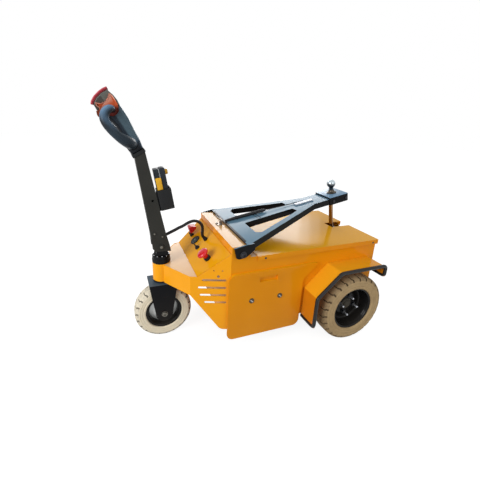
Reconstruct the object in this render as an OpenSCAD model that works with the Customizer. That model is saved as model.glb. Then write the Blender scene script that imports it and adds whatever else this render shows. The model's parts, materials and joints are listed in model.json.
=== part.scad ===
// Pedestrian-controlled electric tow tractor: three wheels, tiller steering,
// a battery box body and a powered hitch arm with a tow ball.
// Millimetres, +Z up. The tiller end points to -X, the hitch to +X.

/* [Wheels] */
// Diameter of the rear tyres
rear_tyre_d = 381; // [360:1:400]
// Width of the rear tyres
rear_tyre_w = 114; // [100:1:120]
// Gap between a rear tyre and the box wall
wheel_gap = 7; // [7:1:18]
// Diameter of the rear rim's lip
rear_rim_d = 242; // [225:1:250]
// Depth of the rear wheel disc behind the rim's lip
rear_dish = 58; // [50:1:62]
// Diameter of the front tyre
front_tyre_d = 302; // [290:1:310]
// Width of the front tyre
front_tyre_w = 88; // [80:1:90]
// Diameter of the front rim's lip
front_rim_d = 190; // [180:1:200]
// Distance from the rear axle to the steering axis
wheelbase = 964; // [950:1:990]
// Number of shoulder blocks round a rear tyre
rear_blocks = 26; // [20:1:30]
// Number of shoulder blocks round the front tyre
front_blocks = 22; // [16:1:26]
// Depth of the shoulder grooves
groove_depth = 5; // [3:0.5:6]

/* [Body box] */
// Outside width of the battery box
body_w = 540; // [530:1:540]
// Distance from the rear axle forward to the front wall
body_front = 676; // [670:1:690]
// Distance from the rear axle back to the rear wall
body_rear = 200; // [195:1:215]
// Height of the floor above the ground
floor_h = 141; // [120:1:150]
// Height of the side walls' top edge
deck_h = 530; // [520:1:536]
// Height of the raised bridge that carries the hitch arm
bridge_h = 591; // [585:1:591]
// Length of the bridge's flat top
bridge_l = 74; // [60:1:78]
// Length of the slope behind the bridge
bridge_slope = 24; // [15:1:30]
// Length of the shelf between the bridge's slope and the lid
shelf_l = 34; // [25:1:45]
// Thickness of the body's sheet steel
sheet_t = 4; // [3:0.5:5]
// Height of the rear wall's lower edge
rear_wall_h = 262; // [240:1:300]

/* [Lid] */
// Thickness of the lid's sheet
lid_t = 3; // [2:0.5:4]
// How far the lid's rim stands outside the box
lid_over = 8; // [6:1:12]
// Height of the lid's rim
lid_rim = 26; // [20:1:32]
// Width of the slot for the lift rod
slot_w = 76; // [60:1:90]
// Gap between the parked lift rod and the slot's inner end
slot_gap = 14; // [12:1:24]

/* [Side covers] */
// Gap between a side cover and the fender's front panel
cover_gap = 39; // [30:1:46]
// Gap between a side cover's slanted edge and the fender's slope
cover_slope_gap = 70; // [62:1:80]
// Height of a side cover's top edge
cover_top = 450; // [440:1:460]
// Height of a side cover's bottom edge
cover_bottom = 85; // [75:1:110]
// How far a cover stands off the box wall
cover_depth = 13; // [11:1:18]
// Corner radius of a side cover
cover_r = 36; // [20:1:50]
// Radius of a side cover's sharp upper corner
cover_tip_r = 6; // [5:1:12]
// How far a cover reaches in front of the box
cover_lead = 16; // [8:1:20]
// Length of the finger recess
recess_l = 100; // [80:1:120]
// Height of the finger recess
recess_h = 27; // [22:1:34]
// Diameter of a cover's turn lock
lock_d = 27; // [20:1:32]

/* [Front cowl] */
// Height of the console panel's top edge
console_top = 556; // [545:1:560]
// Gap between the fork crown and the neck's lower edge
neck_gap = 8; // [6:1:14]
// Height of the neck's side plates
neck_h = 100; // [96:1:106]
// Distance from the steering axis to the console panel's lower edge
console_back = 136; // [130:1:142]
// Distance from the steering axis to the fold of the cowl's side plates
fold_back = 104; // [98:1:110]
// Half-width of the cowl at the fold
fold_y = 205; // [195:1:210]
// Thickness of the cowl's sheet
cowl_t = 3; // [2:0.5:4]
// Height of a ventilation slot
vent_h = 11; // [8:1:14]
// Distance between ventilation slots
vent_pitch = 40.5; // [34:0.5:44]

/* [Steering] */
// Outside diameter of the head tube
head_d = 92; // [86:1:96]
// Diameter of the steering stem
stem_d = 48; // [40:1:54]
// Gap between the front tyre and the fork's crown
crown_gap = 16; // [10:1:18]
// Thickness of the fork's plate
fork_t = 8; // [6:1:10]
// Gap between the front tyre and the fork's legs
fork_gap = 8; // [6:1:12]
// Width of the fork's crown
crown_w = 144; // [130:1:150]
// Diameter of the front axle bolt
axle_bolt_d = 20; // [16:1:24]
// Height of the tiller's tilt pin over the steering cap
tilt_rise = 54.7; // [50:0.1:60]
// Lean of the parked tiller from upright
tiller_lean = 9.7; // [6:0.1:12]
// Length of the tiller column above its tilt pin
tiller_l = 464; // [440:1:480]
// Width of the tiller column at its foot
tiller_foot = 86; // [80:1:90]
// Width of the tiller column at its top
tiller_tip = 50; // [46:1:60]
// Depth of the tiller column across the machine
tiller_w = 72; // [68:1:80]
// Thickness of the tiller's sheet
tiller_t = 4; // [3:0.5:5]

/* [Tiller head] */
// Lean of the tiller head from upright
head_lean = 30; // [24:1:36]
// Width of the tiller head over both hand loops
head_w = 262; // [240:1:280]
// Thickness of the hand loops
loop_d = 40; // [36:1:44]

/* [Hitch arm] */
// Distance from the box's front wall to the hitch pivot
pivot_back = 51; // [46:1:56]
// Height of the hitch pivot
pivot_h = 555; // [550:1:558]
// Rise of the parked arm above level
arm_rise = 11.3; // [10:0.1:12]
// Gap between the box wall and the arm's ears
arm_gap = 7; // [6:1:9]
// Half-width of the arm under the ball plate
arm_tip_half = 66; // [60:1:72]
// Length of the arm from its pivot
arm_l = 770; // [760:1:775]
// Distance from the pivot to where the arm runs parallel
arm_taper_l = 549; // [530:1:560]
// Height of the arm's top face over its pivot
arm_top = 40; // [38:1:44]
// Depth of the arm's channel
arm_depth = 34; // [30:1:38]
// Thickness of the arm's sheet
arm_t = 4; // [3:0.5:4]
// Width of the arm's outer rails
rail_w = 38; // [32:1:44]
// Half-width of the arm's middle spine
spine_half = 40; // [34:1:44]
// Thickness of the arm's ears
ear_t = 8; // [6:1:10]
// Diameter of the hitch pivot bolts
pivot_d = 24; // [20:1:28]

/* [Tow ball] */
// Diameter of the tow ball
ball_d = 50; // [50:1:50.8]
// Height of the ball's centre over the ball plate
ball_h = 58; // [54:1:64]
// Diameter of the ball's neck
neck_d = 26; // [22:1:29]
// Length of the ball plate in front of the ball
plate_lead = 64; // [58:1:68]
// Length of the ball plate behind the ball
plate_tail = 67; // [65:1:70]
// Radius of the ball plate's rear corners
plate_r = 10; // [6:1:14]

/* [Lift cylinder] */
// Distance from the rear axle back to the cylinder's foot pin
foot_x = 157; // [155:1:159]
// Height of the cylinder's foot pin
foot_h = 190; // [186:1:194]
// Outside diameter of the cylinder
barrel_d = 52; // [44:1:56]
// Length of the cylinder above its foot pin
barrel_l = 330; // [320:1:332]
// Diameter of the lift rod
rod_d = 25; // [22:1:28]
// Distance from the arm's end to the rod's eye and the ball
eye_back = 54; // [50:1:60]
// Height of the rod's eye over the arm's pivot
eye_w = 15; // [12:1:16]
// Play of the rod's eye round its pin, which takes up the arm's arc
eye_play = 5.5; // [5:0.5:7]

/* [Fenders] */
// Outside width over both fenders
fender_w = 790; // [788:1:796]
// Gap between a rear tyre and the fender's flat top
fender_gap = 51; // [45:1:64]
// Gap between a rear tyre and the fender's front panel
fender_lead = 63.5; // [55:0.5:70]
// Distance from the rear axle forward to the end of the slope
fender_slope = 118; // [110:1:130]
// Distance from the rear axle back to the fender's rear
fender_rear = 170; // [165:1:180]
// Height of the front panel's top fold
fender_fold_h = 305; // [295:1:320]
// Height of the front panel's lower edge
fender_low_h = 133; // [125:1:145]
// Height of the rear lip
fender_lip = 66; // [50:1:80]
// Radius of the fender's folds
fender_r = 18; // [10:1:24]
// Width of the rubber edging
trim_w = 14; // [10:1:16]
// Thickness of the rubber edging over the sheet
trim_t = 5; // [3:0.5:5]

/* [Drive] */
// Gap between the battery bay and the fender's front panel
bay_gap = 8; // [6:1:16]
// Diameter of the drive motor
motor_d = 150; // [140:1:156]
// Distance from the rear axle to the drive motor
motor_x = 100; // [98:1:110]
// Gap between the drive motor and the cross member
motor_gap = 9; // [7:1:20]
// Gap between the battery block and the box's front wall
battery_lead = 18; // [12:1:30]
// Gap between the battery block and the box walls
battery_side = 26; // [20:1:40]
// Gap between the battery block and the lid
battery_room = 41; // [30:1:60]

/* [Hidden] */
$fn = 64;

body_yellow = "orange";
frame_black = [0.08, 0.08, 0.09];
tyre_beige = [0.80, 0.74, 0.62];
zinc = [0.75, 0.76, 0.78];

// Clearance of a face seated on its neighbour, and of a shaft in its bore
seat = 0.3;
run = 0.05;
// Least gap between pieces that move past each other
move_gap = 6;

half_w = body_w / 2;
rear_track = body_w + rear_tyre_w + 2 * wheel_gap;
crown_h = front_tyre_d + crown_gap + fork_t;
neck_low_h = crown_h + neck_gap;
neck_top_h = neck_low_h + neck_h;
console_x = wheelbase - console_back;
fold_x = wheelbase - fold_back;
arm_half_w = half_w + arm_gap + ear_t;
pivot_x = body_front - pivot_back;
eye_u = arm_l - eye_back;
fender_h = rear_tyre_d + fender_gap;
fender_front = rear_tyre_d / 2 + fender_lead;
x_front = -body_front;
x_rear = body_rear;
x_slope = x_front + bridge_l;
x_shelf = x_slope + bridge_slope;
x_lid = x_shelf + shelf_l;
axle_h = rear_tyre_d / 2;
front_axle_h = front_tyre_d / 2;
x_head = -wheelbase;
wheel_y = rear_track / 2;
wheel_out = wheel_y + rear_tyre_w / 2;
rim_lip_y = wheel_out - 8;
disc_y = rim_lip_y - rear_dish;
tube_d = 76;
hub_d = 132;
stud_pcd = 100;
stud_d = 14;

// Steering cap on the head tube, and the tilt pin over it
cap_h = 40;
tube_bottom = crown_h + 12;
tube_top = neck_top_h + 2;
cap_bottom = tube_top + seat;
cap_top = cap_bottom + cap_h;
tilt_h = cap_top + tilt_rise;

// The nose's crown in side view, under the safety button
cap_path = [[-46, 260], [-38, 269], [-21, 278], [5, 285], [33, 286]];
cap_t = 14;

// The whole machine is centred on the origin, lengthways
cap_tip = beside(cap_path, cap_t)[0];
head_reach = cap_tip[1] * sin(head_lean) - cap_tip[0] * cos(head_lean);
x_nose = x_head - 2 - tiller_l * sin(tiller_lean) - head_reach;
x_tail = x_rear + lid_over;
x_mid = (x_nose + x_tail) / 2;

// Points of an outline of constant thickness t beside the path p, on its left for t > 0
function dir2(a, b) = (b - a) / norm(b - a);
function left2(d) = [-d[1], d[0]];
function mitre(d0, d1) = let(n = left2(d0) + left2(d1)) n / (n * left2(d0));
function beside(p, t) = [
    for (i = [0 : len(p) - 1])
        let(
            d0 = dir2(p[max(i - 1, 0)], p[max(i, 1)]),
            d1 = dir2(p[min(i, len(p) - 2)], p[min(i + 1, len(p) - 1)])
        ) p[i] + t * mitre(d0, d1)
];
function reversed(p) = [for (i = [len(p) - 1 : -1 : 0]) p[i]];
function folded(p, t) = concat(p, reversed(beside(p, t)));

// The path p with each inner corner replaced by an arc of radius r in n steps
function arc_corner(a, b, c, r, n) =
    let(
        d0 = dir2(a, b), d1 = dir2(b, c),
        turn = d0[0] * d1[1] - d0[1] * d1[0],
        half = acos(max(-1, min(1, d0 * d1))) / 2,
        start = b - d0 * r * tan(half),
        side = turn > 0 ? 1 : -1,
        centre = start + left2(d0) * r * side,
        from = atan2(start[1] - centre[1], start[0] - centre[0])
    ) [for (i = [0 : n]) let(a1 = from + side * 2 * half * i / n) centre + r * [cos(a1), sin(a1)]];
function rounded_path(p, r, n) = [
    for (i = [0 : len(p) - 1])
        each (i == 0 || i == len(p) - 1 ? [p[i]] : arc_corner(p[i - 1], p[i], p[i + 1], r, n))
];
// r is one radius for all corners, or a list with each corner's own
function rounded_loop(p, r, n) = [
    for (i = [0 : len(p) - 1])
        each arc_corner(p[(i + len(p) - 1) % len(p)], p[i], p[(i + 1) % len(p)], is_list(r) ? r[i] : r, n)
];
// A closed counter-clockwise outline moved inwards by t
function inset_loop(p, t) = [
    for (i = [0 : len(p) - 1])
        let(
            d0 = dir2(p[(i + len(p) - 1) % len(p)], p[i]),
            d1 = dir2(p[i], p[(i + 1) % len(p)])
        ) p[i] + t * mitre(d0, d1)
];
function mirror_y(p) = [for (i = [len(p) - 1 : -1 : 0]) [p[i][0], -p[i][1]]];

// An outline drawn in X and Z, as a plate from y0 to y1
module upright(y0, y1) {
    translate([0, y1, 0]) rotate([90, 0, 0]) linear_extrude(y1 - y0) children();
}

// A shape on the left side, and its mirror image on the right
module on_side(side) {
    if (side > 0) children(); else mirror([0, 1, 0]) children();
}

// A round bar along Y
module bar_y(d, y0, y1) {
    translate([0, y1, 0]) rotate([90, 0, 0]) cylinder(d = d, h = y1 - y0);
}

// A profile of [radius, distance along Y] points, turned round the Y axis
module turned_y(points) {
    rotate([-90, 0, 0]) rotate_extrude($fn = 96) polygon(points);
}

module place() {
    translate([-x_mid, 0, 0]) children();
}

// Side view of the box with its raised front bridge
function side_outline() = [
    [x_front, floor_h], [x_rear, floor_h], [x_rear, deck_h], [x_shelf, deck_h],
    [x_slope, bridge_h], [x_front, bridge_h]
];

arch_r = tube_d / 2 + 14;

cover_x0 = x_front - cover_lead;
cover_x1 = -fender_front - cover_gap;
// the battery bay ends short of the fender, and its tray at a cross member
bay_x1 = -fender_front - bay_gap;
pan_end = bay_x1 - 20;
sill_h = 24;
frame_w = 45;

module wall_plate(y0, y1) {
    upright(y0, y1) difference() {
        polygon(side_outline());
        // battery opening behind the side cover
        translate([x_front + frame_w, floor_h + sill_h])
            square([bay_x1 - x_front - 2 * frame_w, cover_top - floor_h - 2 * sill_h - 26]);
        // hole for the hitch pivot's bolt
        translate([-pivot_x, pivot_h]) circle(d = pivot_d + 2 * seat);
        // arch over the axle tube, open below
        translate([0, axle_h]) circle(r = arch_r);
        translate([-arch_r, 0]) square([2 * arch_r, axle_h]);
    }
}

module body_shell() color(body_yellow) {
    rim = 22;
    for (side = [-1, 1]) on_side(side) {
        wall_plate(half_w - sheet_t, half_w);
        // flange that the lid rests on
        translate([x_shelf, half_w - sheet_t - rim, deck_h - sheet_t])
            cube([x_rear - x_shelf - sheet_t, rim, sheet_t]);
    }
    inner = half_w - sheet_t;
    // front wall, bridge top, slope and shelf are one folded sheet
    upright(-inner, inner) polygon(folded([
        [x_front, floor_h], [x_front, bridge_h], [x_slope, bridge_h],
        [x_shelf, deck_h], [x_lid + 40, deck_h]
    ], -sheet_t));
    // rear wall with its top flange
    difference() {
        translate([x_rear - sheet_t, -inner, rear_wall_h])
            cube([sheet_t, 2 * inner, deck_h - rear_wall_h]);
        translate([x_rear - 2 * sheet_t, -slot_w / 2, deck_h - lid_rim])
            cube([3 * sheet_t, slot_w, 2 * lid_rim]);
    }
    for (side = [-1, 1]) on_side(side)
        translate([x_rear - sheet_t - rim, slot_w / 2, deck_h - sheet_t])
            cube([rim, inner - rim - slot_w / 2, sheet_t]);
    // cross member under the battery's rear end
    translate([pan_end, -inner, floor_h]) cube([sheet_t, 2 * inner, 70]);
}

module floor_pan() color(frame_black) {
    inner = half_w - sheet_t;
    difference() {
        translate([x_front + sheet_t, -inner, floor_h])
            cube([pan_end - x_front - sheet_t, 2 * inner, sheet_t]);
        // drain holes in the tray
        for (x = [x_front + 60, pan_end - 60], y = [-150, 150])
            translate([x, y, floor_h - 1]) cylinder(d = 14, h = sheet_t + 2);
    }
}

// The lift cylinder stands in the plane Y = 0
foot = [foot_x, foot_h];
eye = [
    -pivot_x + eye_u * cos(arm_rise) - eye_w * sin(arm_rise),
    pivot_h + eye_u * sin(arm_rise) + eye_w * cos(arm_rise)
];
lift_len = norm(eye - foot);
lift_lean = atan2(foot[0] - eye[0], eye[1] - foot[1]);
pin_d = 16;
function rod_x(z) = foot_x - (z - foot_h) * tan(lift_lean);

module lid() color(body_yellow) {
    out = half_w + lid_over;
    top = deck_h + lid_t;
    bottom = top - lid_rim;
    difference() {
        translate([x_lid, -out, bottom]) cube([x_tail - x_lid, 2 * out, lid_rim]);
        // hollow under the top sheet; the front edge has no rim
        translate([x_lid - 1, -out + lid_t, bottom - 1])
            cube([x_tail - lid_t - x_lid + 1, 2 * (out - lid_t), lid_rim - lid_t + 1]);
        // slot for the lift rod, open to the rear
        translate([rod_x(top) - rod_d / 2 - slot_gap, -slot_w / 2, bottom - 1])
            cube([x_tail, slot_w, lid_rim + 2]);
        for (side = [-1, 1], x = [x_lid + 42, x_rear - 28])
            translate([x, side * (out - lid_t / 2), top - 16]) rotate([90, 0, 0])
                cylinder(d = 8, h = 2 * lid_t, center = true);
    }
}

lock_z = (cover_top + cover_bottom) / 2 + 27;
lock_xs = [cover_x0 + 125, cover_x0 + 284];

// The rear edge keeps its gaps to the fender's front panel and, slanted, to its slope
fold_dir = dir2([-fender_front, fender_fold_h], [-fender_slope, fender_h]);
slant_pt = [-fender_front, fender_fold_h] + cover_slope_gap * left2(fold_dir);
slant_rise = fold_dir[1] / fold_dir[0];
cover_corners = [
    [cover_x0, cover_bottom], [cover_x1, cover_bottom],
    [cover_x1, slant_pt[1] + (cover_x1 - slant_pt[0]) * slant_rise],
    [slant_pt[0] + (cover_top - slant_pt[1]) / slant_rise, cover_top], [cover_x0, cover_top]
];
function cover_outline(t) = rounded_loop(
    inset_loop(cover_corners, t), [cover_r - t, cover_r - t, cover_r + t, cover_tip_r - t, cover_r - t], 8
);

module side_cover(side) color(body_yellow) on_side(side) {
    face = half_w + cover_depth;
    recess_x = cover_x0 + 165;
    recess_z = cover_top - 60;
    difference() {
        upright(half_w + seat, face) polygon(cover_outline(0));
        upright(half_w, face - sheet_t) polygon(cover_outline(sheet_t));
        translate([recess_x, half_w, recess_z]) cube([recess_l, cover_depth + 1, recess_h]);
        for (x = lock_xs)
            translate([x, half_w, lock_z]) rotate([-90, 0, 0]) cylinder(d = 16, h = cover_depth + 1);
        // the front return clears the cowl's side plate
        translate([cover_x0 - 1, half_w - 1, cover_bottom - 1])
            cube([cover_lead + 1, cover_depth - sheet_t + 1, cover_top]);
    }
    // bent pocket behind the finger recess
    pocket_t = 2;
    difference() {
        translate([recess_x - pocket_t, half_w + seat, recess_z - pocket_t])
            cube([recess_l + 2 * pocket_t, cover_depth - sheet_t - seat, recess_h + 2 * pocket_t]);
        translate([recess_x, half_w + pocket_t, recess_z])
            cube([recess_l, cover_depth, recess_h]);
    }
}

module cover_locks() color(zinc) {
    for (side = [-1, 1]) on_side(side) for (x = lock_xs)
        translate([x, half_w + cover_depth + seat, lock_z]) rotate([-90, 0, 0]) {
            difference() {
                cylinder(d = lock_d, h = 4);
                translate([-lock_d, -2, 2.5]) cube([2 * lock_d, 4, 2]);
            }
            translate([0, 0, -cover_depth + 2]) cylinder(d = 15, h = cover_depth);
        }
}

// The cowl tapers in plan from the box to a fold, and from there to the head tube
head_touch = [x_head + 3, head_d / 2];
fold_pt = [-fold_x, fold_y];
box_pt = [x_front, half_w];
slope_k = (half_w - fold_y) / (fold_x - body_front);
console_half = half_w - (console_x - body_front) * slope_k;
console_run = console_x - body_front;
console_drop = console_top - neck_top_h;
console_len = norm([console_run, console_drop]);
console_pitch = atan2(console_drop, console_run);

// The console panel's own frame: +X up the slope, +Z out of the face
module on_console(s, y) {
    translate([x_front, 0, console_top]) rotate([0, -console_pitch, 0])
        translate([-s, y, 0]) children();
}

// Places of the fittings on the console, up the slope and across, and their holes
gauge_at = [105, 91];
gauge_hole = 50;
stop_at = [104, -153];
stop_hole = 22;
plug_at = [104, 166];
plug_hole = 16;
key_at = [118, 4];
key_hole = 19;
gland_at = [55, 11];
gland_hole = 16;

module console_hole(at, d) {
    on_console(at[0], at[1]) translate([0, 0, -10]) cylinder(d = d, h = 20);
}

module console_panel() color(body_yellow) {
    difference() {
        on_console(0, 0) translate([0, 0, -cowl_t]) linear_extrude(cowl_t) polygon([
            [-cowl_t, half_w - 2 * cowl_t], [-cowl_t, -half_w + 2 * cowl_t],
            [-console_len, -console_half + 2 * cowl_t], [-console_len, console_half - 2 * cowl_t]
        ]);
        console_hole(gauge_at, gauge_hole);
        console_hole(stop_at, stop_hole);
        console_hole(plug_at, plug_hole);
        console_hole(key_at, key_hole);
        console_hole(gland_at, gland_hole);
    }
}

side_len = norm(fold_pt - box_pt);
side_angle = atan2(half_w - fold_y, fold_x - body_front);

// Lower edge of the louvred plate, as distance from the box and height
belly_s = side_len * 0.24;

module vent_slot(s0, s1, z) {
    for (s = [s0, s1]) translate([s, z]) circle(d = vent_h, $fn = 24);
    translate([s0, z - vent_h / 2]) square([s1 - s0, vent_h]);
}

module cowl_side(side) color(body_yellow) on_side(side) {
    // louvred plate, from the box to the fold
    s_console = console_run / cos(side_angle);
    // the plate starts where its inner face meets the front wall
    s_wall = cowl_t * tan(side_angle) + run;
    vents = [[28, 61], [27, 43], [26, 52], [25, 74]];
    translate([x_front, half_w, 0]) rotate([0, 0, 180 + side_angle])
        rotate([90, 0, 0]) translate([0, 0, -cowl_t])
            linear_extrude(cowl_t) difference() {
                polygon(concat(
                    [[s_wall, console_top], [s_wall, floor_h]],
                    arc_corner([0, floor_h], [belly_s, floor_h], [side_len, neck_low_h], 34, 6),
                    [[side_len, neck_low_h], [side_len, neck_top_h], [s_console, neck_top_h]]
                ));
                for (i = [0 : 3])
                    vent_slot(vents[i][0], side_len - vents[i][1], neck_top_h - 15 - i * vent_pitch);
                for (s = [42, 83]) translate([s, neck_top_h + 36]) circle(d = 7);
                translate([61, neck_top_h + 5]) circle(d = 14);
            }
    // neck plate, from the fold to the head tube
    difference() {
        upright_between(fold_pt, head_touch, neck_low_h, neck_top_h, cowl_t);
        translate([x_head, 0, 0]) cylinder(d = head_d + 2 * seat, h = console_top);
    }
}

// A vertical plate on the inner side of the plan line from a to b
module upright_between(a, b, z0, z1, t) {
    translate([0, 0, z0]) linear_extrude(z1 - z0) polygon(folded([a, b], t));
}

module neck_plates() color(body_yellow) {
    inset = cowl_t + seat;
    plan = [
        [-fold_x, fold_y - inset * 2], head_touch - [0, inset * 2],
        [head_touch[0], -head_touch[1] + inset * 2], [-fold_x, -fold_y + inset * 2],
        [-console_x, -console_half + inset * 1.5], [-console_x, console_half - inset * 1.5]
    ];
    low_plan = [for (i = [0 : 3]) plan[i]];
    difference() {
        union() {
            translate([0, 0, neck_top_h - cowl_t]) linear_extrude(cowl_t) polygon(plan);
            translate([0, 0, neck_low_h]) linear_extrude(cowl_t) polygon(low_plan);
        }
        translate([x_head, 0, 0]) cylinder(d = head_d + 2 * seat, h = console_top);
    }
}

module head_tube() color(body_yellow) {
    land = 22;
    bore = stem_d / 2 + run;
    wide = head_d / 2 - 8;
    translate([x_head, 0, 0]) rotate_extrude() polygon([
        [bore, tube_bottom], [head_d / 2, tube_bottom], [head_d / 2, tube_top], [bore, tube_top],
        [bore, tube_top - land], [wide, tube_top - land],
        [wide, tube_bottom + land], [bore, tube_bottom + land]
    ]);
}

module gauge() color([0.1, 0.1, 0.1]) on_console(gauge_at[0], gauge_at[1]) {
    rotate_extrude() polygon([
        [0, -30], [gauge_hole / 2 - 0.5, -30], [gauge_hole / 2 - 0.5, 0], [gauge_hole / 2 + 4, 0],
        [gauge_hole / 2 + 4, 3], [gauge_hole / 2 + 2, 5], [gauge_hole / 2 - 1, 5],
        [gauge_hole / 2 - 2, 2.5], [0, 2.5]
    ]);
}

module key_switch() color([0.1, 0.1, 0.1]) on_console(key_at[0], key_at[1]) {
    cylinder(d = key_hole + 7, h = 7);
    translate([0, 0, -26]) cylinder(d = key_hole - 1, h = 30);
    translate([0, 0, 6]) cylinder(d = 17, h = 8);
    // the key's grip
    translate([-2, -9, 13]) cube([4, 18, 24]);
}

module stop_button() color("red") on_console(stop_at[0], stop_at[1]) {
    translate([0, 0, -40]) cylinder(d = stop_hole - 1, h = 41);
    cylinder(d = stop_hole + 12, h = 16);
    translate([0, 0, 15]) cylinder(d1 = 26, d2 = 36, h = 22);
    translate([0, 0, 36]) rotate_extrude() polygon(concat(
        [[0, 0], [18, 0], [30, 7]],
        [for (a = [0 : 15 : 90]) [30 * cos(a) + 0, 9 + 11 * sin(a)]]
    ));
}

module charge_plug() color("red") on_console(plug_at[0], plug_at[1]) {
    translate([0, 0, -14]) cylinder(d = plug_hole - 1, h = 15);
    cylinder(d = plug_hole + 8, h = 10);
    translate([0, 0, 9]) cylinder(d = 17, h = 14);
    // two-pole plug lying across the sleeve
    translate([0, 0, 16]) rotate([0, console_pitch, 0]) {
        translate([-9, -24, 14]) cube([22, 52, 26]);
        cylinder(d = 16, h = 15);
    }
}

module cable_gland() color(frame_black) on_console(gland_at[0], gland_at[1]) {
    translate([0, 0, -16]) cylinder(d = gland_hole - 1, h = 17);
    cylinder(d = gland_hole + 10, h = 6, $fn = 6);
    translate([0, 0, 5.9]) cylinder(d1 = 23, d2 = 16, h = 12);
}

// Side view of a fender, from the front panel's lower edge over the wheel to the rear lip
fender_path = rounded_path([
    [-fender_front, fender_low_h], [-fender_front, fender_fold_h], [-fender_slope, fender_h],
    [fender_rear, fender_h], [fender_rear, fender_h - fender_lip]
], fender_r, 5);

module fender(side) color(body_yellow) on_side(side) {
    upright(half_w + seat, fender_w / 2) polygon(folded(fender_path, -sheet_t));
}

module fender_trim(side) color(frame_black) on_side(side) {
    over = beside(fender_path, trim_t);
    edge = fender_w / 2;
    difference() {
        union() {
            upright(edge - trim_w, edge + trim_t) polygon(folded(over, -sheet_t - 2 * trim_t));
            // along the front panel's lower edge and the rear lip
            for (p = [[-fender_front, fender_low_h], [fender_rear - sheet_t, fender_h - fender_lip]])
                translate([p[0] - trim_t, half_w + seat, p[1] - trim_t])
                    cube([sheet_t + 2 * trim_t, edge + trim_t - half_w - seat, trim_w]);
        }
        upright(half_w, edge) polygon(folded(fender_path, -sheet_t));
    }
}

module drive_axle() color(frame_black) {
    case_r = 92;
    translate([0, 0, axle_h]) {
        // differential case, tubes and end flanges turned in one profile
        turned_y([
            [0, -disc_y + 26], [60, -disc_y + 26], [60, -disc_y + 38], [tube_d / 2, -disc_y + 38],
            [tube_d / 2, -120], [case_r - 24, -66], [case_r, -34], [case_r, 34],
            [case_r - 24, 66], [tube_d / 2, 120], [tube_d / 2, disc_y - 38], [60, disc_y - 38],
            [60, disc_y - 26], [0, disc_y - 26]
        ]);
        // mounting pads up to the box walls
        for (side = [-1, 1]) on_side(side) translate([-45, 170, tube_d / 2 - 8])
            cube([90, half_w - sheet_t - 170, 70]);
        // flange that carries the motor
        translate([-motor_x + seat, 0, 12]) rotate([0, 90, 0])
            cylinder(d = motor_d - 30, h = motor_x - 40);
    }
}

// The motor ends short of the cross member
motor_cap = 14;
motor_l = -motor_x - pan_end - sheet_t - motor_gap - motor_cap;

module drive_motor() color([0.3, 0.3, 0.32]) {
    r = motor_d / 2;
    band = 18;
    groove = 5;
    // the housing has cooling grooves between its end bands
    rings = floor((motor_l - 2 * band) / (2 * groove));
    translate([-motor_x, 0, axle_h + 12]) rotate([0, -90, 0]) rotate_extrude() polygon(concat(
        [[0, 0], [r, 0]],
        [for (i = [0 : rings - 1], p = [[r, 0], [r - 4, 0], [r - 4, groove], [r, groove]])
            [p[0], band + 2 * i * groove + p[1]]],
        [[r, motor_l], [r - 20, motor_l], [r - 20, motor_l + motor_cap], [0, motor_l + motor_cap]]
    ));
    // terminal box on the housing
    translate([-motor_x - motor_l + band / 2, -32, axle_h + 12]) cube([motor_l - band, 64, r + 18]);
}

module battery() color([0.25, 0.25, 0.27]) {
    x0 = x_front + sheet_t + battery_lead;
    x1 = pan_end - 20;
    half = half_w - sheet_t - battery_side;
    top = deck_h - sheet_t - battery_room;
    cap = 42;
    lip = 3;
    translate([x0 + lip, -half + lip, floor_h + sheet_t])
        cube([x1 - x0 - 2 * lip, 2 * (half - lip), top - cap - floor_h - sheet_t]);
    translate([x0, -half, top - cap]) cube([x1 - x0, 2 * half, cap - 12]);
    translate([x0 + 2 * lip, -half + 2 * lip, top - 12]) cube([x1 - x0 - 4 * lip, 2 * (half - 2 * lip), 2]);
    for (side = [-1, 1]) translate([x1 - 50, side * (half - 60), top - 11]) cylinder(d = 19, h = 11);
}

module lift_mount() color(frame_black) {
    inner = half_w - sheet_t;
    lug_y = barrel_d / 2 + 3;
    // cross beam between the walls
    beam_top = foot_h - 26;
    beam_h = beam_top - floor_h + 12;
    beam_l = 60;
    translate([foot_x - beam_l / 2, -inner, beam_top - beam_h]) difference() {
        cube([beam_l, 2 * inner, beam_h]);
        translate([sheet_t, -1, -1]) cube([beam_l - 2 * sheet_t, 2 * inner + 2, beam_h - sheet_t + 1]);
    }
    for (side = [-1, 1]) on_side(side)
        upright(lug_y, lug_y + 8) difference() {
            union() {
                translate([foot_x - 24, beam_top - 1]) square([48, 27]);
                translate(foot) circle(d = 48);
            }
            translate(foot) circle(d = pin_d + 2 * run);
        }
    translate([foot[0], 0, foot[1]]) bar_y(pin_d, -lug_y - 14, lug_y + 14);
}

ear_in = arm_half_w - ear_t;

module hitch_pivots() color(zinc) {
    for (side = [-1, 1]) on_side(side) translate([-pivot_x, 0, pivot_h]) {
        bar_y(pivot_d, half_w - 40, arm_half_w + 1);
        // head and washer outside the ear
        bar_y(pivot_d + 18, arm_half_w + seat, arm_half_w + 3);
        translate([0, arm_half_w + 11, 0]) rotate([90, 0, 0])
            cylinder(d = pivot_d + 12, h = 9, $fn = 6);
        // spacer between the wall and the ear
        bar_y(pivot_d + 16, half_w + seat, ear_in - seat);
    }
}

module cable_bracket() color(zinc) translate([x_front + 38, 44, bridge_h]) {
    translate([-14, -22, 0]) cube([30, 44, 3]);
    difference() {
        translate([12, -22, 0]) cube([3, 44, 30]);
        translate([10, 0, 17]) rotate([0, 90, 0]) cylinder(d = 11, h = 8);
    }
    translate([7, 0, 17]) rotate([0, 90, 0]) cylinder(d = 19, h = 5, $fn = 6);
    translate([-5, 9, 3]) cylinder(d = 13, h = 6, $fn = 6);
}

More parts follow.
